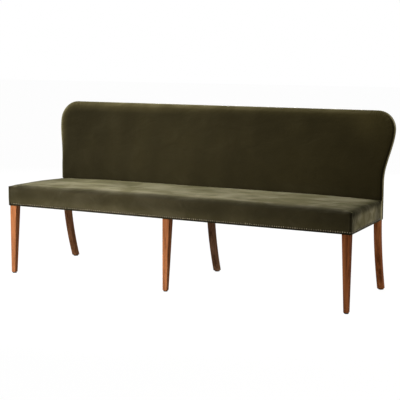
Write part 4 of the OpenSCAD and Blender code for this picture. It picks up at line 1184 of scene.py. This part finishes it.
legLook = {
    "z0": 0.005,             # underside of the wood, on the glides
    "arris": 0.0013,         # rounding of the long edges
    "footArris": 0.0016,
    "footRings": ((0.0, 1.0), (0.0012, 0.35), (0.004, 0.0)),    # height, share of footArris
    "taperFrom": 0.02,
    "foot": 0.024,           # width of the front legs' feet
    "lapIn": 0.0253,         # the centre leg's lap begins so far behind its front
    "lapArris": 0.0006,
    "backDeep": 0.0395,      # back legs, front to rear, at the rail and at the foot
    "backFoot": 0.0315,
    "sweep": 0.0868,         # how far they sweep back
    "sweepPower": 1.64,
    "postFront": 0.028,      # their posts, in front of the rear face
    "postRear": 0.003,
    "postHeights": (0.480, 0.555, 0.580, 0.605, 0.630, 0.655, 0.75, 0.84),
    "postTop": 0.9302,       # of the outer posts, cut to the round corner
    "postTopCentre": 0.866,
    "cutR": 0.0982,          # that cut's radius, and where its centre is
    "cutX": 0.917,
    "frontGlide": 0.0228,    # diameters of the glides
    "backGlide": 0.0285,
    "glideEase": 0.0010,
}

# factors on some legs' brown: they make up for light that differs from leg to leg in the photo
legTones = {
    "frontLegRight": (0.86, 0.74, 0.64),
    "backLegLeft": (0.94, 1.10, 1.28),
    "backLegCentre": (0.75, 0.98, 1.35),
    "backLegRight": (1.28, 1.12, 0.95),
}


def legWood(name):
    tone = legTones.get(name, (1, 1, 1))
    browns = [tuple(c * f for c, f in zip(colour, tone)) + (1,)
              for colour in (srgb(90, 52, 30), srgb(137, 85, 52), srgb(165, 109, 71))]
    return makeWood(name + "Wood", *browns, 2, 0.44)


def roundedSection(x0, x1, y0, y1, radius, steps=3):
    # a rectangle in plan with round corners, as a list of points
    centres = ((x1, y0, -90), (x1, y1, 0), (x0, y1, 90), (x0, y0, 180))
    out = []
    for cx, cy, start in centres:
        mx = cx - radius if cx == x1 else cx + radius
        my = cy - radius if cy == y1 else cy + radius
        for k in range(steps + 1):
            angle = math.radians(start + 90 * k / steps)
            out.append((mx + radius * math.cos(angle), my + radius * math.sin(angle)))
    return out


def loft(name, sections, material):
    # sections: (outline in plan, z of each of its points or one z), from the floor up
    points = []
    for outline, z in sections:
        zs = [z] * len(outline) if np.isscalar(z) else z
        points += [(x, y, h) for (x, y), h in zip(outline, zs)]
    obj = makeObject(name, points, tubeFaces(len(sections[0][0]), len(sections), flip=True), [material])
    # flat caps, and even shading along the long faces
    for cap in (-1, -2):
        obj.data.polygons[len(obj.data.polygons) + cap].use_smooth = False
    obj.data.update()
    obj.modifiers.new("weighted", "WEIGHTED_NORMAL").keep_sharp = True
    return obj


def joinInto(obj, other):
    # puts the other's faces into obj's mesh and removes it
    count = len(obj.data.vertices)
    points = np.concatenate([readPoints(obj), readPoints(other)])
    faces = [list(p.vertices) for p in obj.data.polygons]
    faces += [[v + count for v in p.vertices] for p in other.data.polygons]
    mesh = bpy.data.meshes.new(obj.name)
    mesh.from_pydata(points.tolist(), [], faces)
    mesh.materials.append(obj.data.materials[0])
    smoothFlags = [p.use_smooth for data in (obj.data, other.data) for p in data.polygons]
    mesh.polygons.foreach_set("use_smooth", smoothFlags)
    mesh.update()
    obj.data = mesh
    bpy.data.objects.remove(other)


def legStations(count):
    # heights up to the rail, each with how far the foot's eased edges lie inside its faces
    look = legLook
    stations = [(look["z0"] + up, look["footArris"] * share) for up, share in look["footRings"]]
    return stations + [(z, 0) for z in np.linspace(look["taperFrom"], bench["railZ"], count)]


def frontLeg(name, side):
    # side: -1 left, 0 centre, 1 right
    look = legLook
    stations = legStations(16)
    if side:
        stations += [(bench["legTop"], 0)]
    sections = []
    for z, inset in stations:
        share = min(1, (z - look["z0"]) / (bench["railZ"] - look["z0"]))
        wide = look["foot"] + (bench["legWide"] - look["foot"]) * share
        # the outer face is upright, and only the inner ones taper
        left = (-bench["legX"], -bench["legWide"] / 2, bench["legX"] - wide)[side + 1]
        y = bench["legY"]
        outline = roundedSection(left + inset, left + wide - inset, y + inset, y + wide - inset,
                                 look["arris"])
        sections.append((outline, z))
    leg = loft(name, sections, legWood(name))
    if side == 0:
        # its upper end is halved behind the front rail
        half = bench["legWide"] / 2
        outline = roundedSection(-half, half, bench["legY"] + look["lapIn"], bench["legY"] + bench["legWide"],
                                 look["lapArris"])
        lapSections = [(outline, z) for z in (bench["railZ"] - 0.001, bench["legTop"])]
        joinInto(leg, loft(name + "Lap", lapSections, leg.data.materials[0]))
    return leg


def backLeg(name, side):
    look = legLook
    railZ = bench["railZ"]
    middle = side * (bench["backLegX"] - bench["plank"] / 2)
    x0, x1 = middle - bench["plank"] / 2, middle + bench["plank"] / 2
    rows = []
    for z, inset in legStations(22):
        share = (railZ - z) / (railZ - look["z0"])
        front = bench["backLegY"] + look["sweep"] * share ** look["sweepPower"]
        deep = look["backDeep"] + (look["backFoot"] - look["backDeep"]) * share
        rows.append((z, front, front + deep, inset))
    rows.append((bench["legTop"], bench["backLegY"], bench["rearY"] - look["postRear"], 0))
    for z in look["postHeights"] + (look["postTop"] if side else look["postTopCentre"],):
        rows.append((z, float(rearAt(z)) - look["postFront"], float(rearAt(z)) - look["postRear"], 0))
    sections = [(roundedSection(x0 + inset, x1 - inset, front + inset, rear - inset, look["arris"]), z)
                for z, front, rear, inset in rows]
    if side:
        # the top is cut to the round corner, and still leans with the back there
        outline, z = sections[-1]
        rises = [math.sqrt(max(0, look["cutR"] ** 2 - (abs(x) - look["cutX"]) ** 2)) for x, y in outline]
        zs = [min(z, bench["arcZ"] + rise) for rise in rises]
        outline = [(x, y + float(rearAt(height) - rearAt(z))) for (x, y), height in zip(outline, zs)]
        sections[-1] = (outline, zs)
    return loft(name, sections, legWood(name))


legs = {
    "front_leg_left": frontLeg("frontLegLeft", -1),
    "front_leg_centre": frontLeg("frontLegCentre", 0),
    "front_leg_right": frontLeg("frontLegRight", 1),
    "back_leg_left": backLeg("backLegLeft", -1),
    "back_leg_centre": backLeg("backLegCentre", 0),
    "back_leg_right": backLeg("backLegRight", 1),
}
for node, leg in legs.items():
    applyModifiers(leg)
    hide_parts(node)
    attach(leg, "root")


def makeGlides():
    # one disc under each foot; the photo shows them almost as wide as the feet
    look = legLook
    frontX, backX = bench["legX"] - look["foot"] / 2, bench["backLegX"] - bench["plank"] / 2
    frontY = bench["legY"] + look["foot"] / 2
    backY = bench["backLegY"] + look["sweep"] + look["backFoot"] / 2
    centreX = (look["foot"] - bench["legWide"]) / 2
    feet = [(x, frontY, look["frontGlide"] / 2) for x in (-frontX, centreX, frontX)]
    feet += [(x, backY, look["backGlide"] / 2) for x in (-backX, 0.0, backX)]
    turns = np.arange(32) * math.pi / 16
    discs = []
    for x, y, radius in feet:
        sizes = ((radius - look["glideEase"], 0.0), (radius, look["glideEase"]), (radius, look["z0"]))
        rings = [([(x + r * math.cos(t), y + r * math.sin(t)) for t in turns], z) for r, z in sizes]
        discs.append(loft("footGlides", rings, plastic))
    for disc in discs[1:]:
        joinInto(discs[0], disc)
    return discs[0]


glides = makeGlides()
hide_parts("foot_glides")
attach(glides, "root")
print("legs and glides made")


# the nailheads

nailLook = {
    "width": 0.0077,
    "rise": 0.0019,
    "tilt": 0.10,            # most that a head leans, in radians
    "seed": 4,
}


def nailTree():
    # a domed head on every point, turned to the point's facing and then a little askew
    tree = bpy.data.node_groups.new("nailRow", "GeometryNodeTree")
    sockets = tree.interface
    sockets.new_socket("Geometry", in_out="INPUT", socket_type="NodeSocketGeometry")
    for name in ("Head Width", "Head Rise", "Tilt"):
        sockets.new_socket(name, in_out="INPUT", socket_type="NodeSocketFloat")
    sockets.new_socket("Seed", in_out="INPUT", socket_type="NodeSocketInt")
    sockets.new_socket("Geometry", in_out="OUTPUT", socket_type="NodeSocketGeometry")
    given, result, start = tree.nodes.new("NodeGroupInput"), tree.nodes.new("NodeGroupOutput"), Wire(tree)
    row, width, rise, tilt, seed = (Wire(tree, given.outputs[name])
                                    for name in ("Geometry", "Head Width", "Head Rise", "Tilt", "Seed"))
    ball = start.add("GeometryNodeMeshUVSphere", {"Segments": 12, "Rings": 6, "Radius": 1.0}, out="Mesh")
    size = start.add("ShaderNodeCombineXYZ", {0: width * 0.5, 1: width * 0.5, 2: rise})
    head = start.add("GeometryNodeTransform", {"Geometry": ball, "Scale": size})
    head = start.add("GeometryNodeSetShadeSmooth", {0: head})
    facing = start.add("GeometryNodeInputNamedAttribute", {"Name": "facing"}, out="Attribute",
                       data_type="FLOAT_VECTOR")
    aligned = start.add("FunctionNodeAlignRotationToVector", {"Vector": facing}, out="Rotation", axis="Z")
    least = start.add("ShaderNodeCombineXYZ", {0: tilt * -1.0, 1: tilt * -1.0, 2: 0.0})
    most = start.add("ShaderNodeCombineXYZ", {0: tilt, 1: tilt, 2: 2 * math.pi})
    askew = start.add("FunctionNodeRandomValue", {"Min": least, "Max": most, "Seed": seed}, out="Value",
                      data_type="FLOAT_VECTOR")
    turned = start.add("FunctionNodeEulerToRotation", {"Euler": askew}, out="Rotation")
    both = start.add("FunctionNodeRotateRotation", {"Rotation": aligned, "Rotate By": turned},
                     out="Rotation", rotation_space="LOCAL")
    points = start.add("GeometryNodeMeshToPoints", {"Mesh": row}, out="Points")
    placed = start.add("GeometryNodeInstanceOnPoints", {"Points": points, "Instance": head, "Rotation": both},
                       out="Instances")
    real = start.add("GeometryNodeRealizeInstances", {"Geometry": placed}, out="Geometry")
    finished = start.add("GeometryNodeSetMaterial", {"Geometry": real, "Material": nailMetal}, out="Geometry")
    start.feed(result, {"Geometry": finished})
    return tree


def setInput(modifier, name, value):
    # by the socket's identifier
    for item in modifier.node_group.interface.items_tree:
        if item.item_type == "SOCKET" and item.in_out == "INPUT" and item.name == name:
            modifier[item.identifier] = value


def makeNails(name, tree, places, facings):
    mesh = bpy.data.meshes.new(name)
    mesh.from_pydata(places, [], [])
    attribute = mesh.attributes.new("facing", "FLOAT_VECTOR", "POINT")
    attribute.data.foreach_set("vector", np.asarray(facings, dtype=np.float32).ravel())
    obj = bpy.data.objects.new(name, mesh)
    bpy.context.scene.collection.objects.link(obj)
    modifier = obj.modifiers.new("nails", "NODES")
    modifier.node_group = tree
    for socket, key in (("Head Width", "width"), ("Head Rise", "rise"), ("Tilt", "tilt"), ("Seed", "seed")):
        setInput(modifier, socket, nailLook[key])
    return applyModifiers(obj)


def seatNailPlaces():
    look = seatLook
    z, y = look["nailZ"], bench["frontY"] + look["nailSink"]
    places = [(-look["nailFirstX"] + look["nailPitchFront"] * k, y, z) for k in range(look["nailsFront"])]
    facings = [(0, -1, 0)] * look["nailsFront"]
    for k in range(look["nailsEnd"]):
        deep = bench["frontY"] + look["nailFirstDeep"] + look["nailPitchEnd"] * k
        half = float(seatHalf(deep)) - look["nailSink"]
        places += [(half, deep, z), (-half, deep, z)]
        facings += [(1, 0.03, 0), (-1, 0.03, 0)]
    return places, facings


nailRow = nailTree()
seatNails = makeNails("seatNailheads", nailRow, *seatNailPlaces())
backPlaces = backNailPath()
backNails = makeNails("backNailheads", nailRow,
                      [(x, float(rearAt(z)) - borderLook["nailDeep"], z) for x, z, nx, nz in backPlaces],
                      [(nx, 0, nz) for x, z, nx, nz in backPlaces])
for nails, node in ((seatNails, "seat_nailheads"), (backNails, "back_nailheads")):
    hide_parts(node)
    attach(nails, "root")
print("nailheads made:", len(seatNails.data.polygons) + len(backNails.data.polygons), "faces")


# finishes of the frame's own parts

finishes = {
    "front_rail": beechX, "back_rail_left": beechX, "back_rail_right": beechX, "top_rail": beechX,
    "low_back_rail_left": beechX, "low_back_rail_right": beechX, "side_rail_left": beechY,
    "side_rail_right": beechY, "cross_rail": beechY, "corner_blocks": beechX, "ear_left": beechZ,
    "ear_right": beechZ, "seat_dowels": beechX, "back_dowels": beechX,
    "glide_nails": steel, "frame_screws": steel, "back_card": card, "seat_hessian": hessianCloth,
    "back_hessian": hessianCloth, "seat_webbing_across": webbingCloth, "seat_webbing_along": webbingCloth,
    "back_webbing_upright": webbingCloth, "back_webbing_cross": webbingCloth,
}
for nodeName, material in finishes.items():
    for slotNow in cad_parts[nodeName].material_slots:
        slotNow.material = material
print("frame parts finished")


# the studio

studio = {
    "worldGrey": 0.13,
    "floorAlbedo": 0.35,
    "floorHalf": 30.0,
    "floorZ": -0.0004,
    "floorWhite": 0.975,     # the floor as the camera sees it
    "floorShadow": 0.06,     # and how much of the light on it shows there
    "keySpread": 82.0,       # degrees
    "lens": 1058.0 / 400,    # focal length over the frame's width
    "cameraAt": (2.6323, -4.9565, 1.2407),
    "cameraTurn": (27.616, 81.898, 0.193),    # degrees: round the upright, up from straight down, roll
}

# place, target, watts, width, height, colour
lamps = {
    "keyLight": ((-0.84, -1.75, 1.62), (-0.42, -0.1, 0.40), 31.0, 0.9, 0.7, (1.0, 0.985, 0.96)),
    "topLight": ((0.1, 0.1, 2.6), (0.1, 0.0, 0.4), 9.0, 2.6, 1.4, (1.0, 1.0, 1.0)),
    "fillLight": ((4.0, -3.6, 1.9), (0.9, 0.0, 0.3), 58.0, 1.0, 1.0, (1.0, 0.94, 0.83)),
    "sideLight": ((6.5, 0.3, 1.9), (0.0, 0.0, 0.4), 75.0, 2.4, 2.0, (1.0, 0.93, 0.78)),
    "rearLight": ((-1.5, 4.5, 1.9), (0.0, 0.25, 0.6), 240.0, 1.6, 1.0, (1.0, 1.0, 1.0)),
}


def addArea(name, place, target, power, width, height, colour):
    light = bpy.data.lights.new(name, "AREA")
    light.shape, light.size, light.size_y = "RECTANGLE", width, height
    light.energy, light.color = power, colour
    obj = bpy.data.objects.new(name, light)
    bpy.context.scene.collection.objects.link(obj)
    obj.location = place
    obj.rotation_euler = (Vector(target) - Vector(place)).to_track_quat("-Z", "Y").to_euler()
    return light


def seenDirectly(start):
    # 1 for rays from the camera, from gloss and through glass
    camera, glossy, through = (start.add("ShaderNodeLightPath", out="Is %s Ray" % kind)
                               for kind in ("Camera", "Glossy", "Transmission"))
    return camera.calc("MAXIMUM", camera.calc("MAXIMUM", camera, glossy), through)


def greyOf(value):
    return (value, value, value, 1)


def makeWorld():
    world = bpy.data.worlds.new("studio")
    bpy.context.scene.world = world
    start = Wire(emptyTree(world))
    light = start.add("ShaderNodeBackground", {"Color": greyOf(studio["worldGrey"]), "Strength": 1.0})
    seen = start.add("ShaderNodeBackground", {"Color": greyOf(1), "Strength": 1.0})
    mixed = start.add("ShaderNodeMixShader", {0: seenDirectly(start), 1: light, 2: seen})
    start.feed(start.tree.nodes.new("ShaderNodeOutputWorld"), {"Surface": mixed})


def makeFloor():
    half, z = studio["floorHalf"], studio["floorZ"]
    corners = [(-half, -half, z), (half, -half, z), (half, half, z), (-half, half, z)]
    material = bpy.data.materials.new("paleFloor")
    start = Wire(emptyTree(material))
    plain = start.add("ShaderNodeBsdfDiffuse", {"Color": greyOf(studio["floorAlbedo"])})
    shadow = start.add("ShaderNodeBsdfDiffuse", {"Color": greyOf(studio["floorShadow"])})
    white = start.add("ShaderNodeEmission", {"Color": greyOf(1), "Strength": studio["floorWhite"]})
    pale = start.add("ShaderNodeAddShader", {0: white, 1: shadow})
    mixed = start.add("ShaderNodeMixShader", {0: seenDirectly(start), 1: plain, 2: pale})
    start.feed(start.tree.nodes.new("ShaderNodeOutputMaterial"), {"Surface": mixed})
    floor = makeObject("floor", corners, [(0, 1, 2, 3)], [material], shade=False)


def makeCamera():
    data = bpy.data.cameras.new("camera")
    data.sensor_fit, data.sensor_width = "HORIZONTAL", 36.0
    data.lens = studio["lens"] * data.sensor_width
    data.clip_start, data.clip_end = 0.1, 200
    camera = bpy.data.objects.new("camera", data)
    bpy.context.scene.collection.objects.link(camera)
    around, up, roll = (Matrix.Rotation(math.radians(angle), 4, axis)
                        for angle, axis in zip(studio["cameraTurn"], "ZXZ"))
    camera.matrix_world = Matrix.Translation(studio["cameraAt"]) @ around @ up @ roll
    bpy.context.scene.camera = camera


makeWorld()
makeFloor()
makeCamera()
lights = {name: addArea(name, *lamp) for name, lamp in lamps.items()}
lights["keyLight"].spread = math.radians(studio["keySpread"])
bpy.context.scene.view_settings.view_transform = "Standard"
print("studio made")
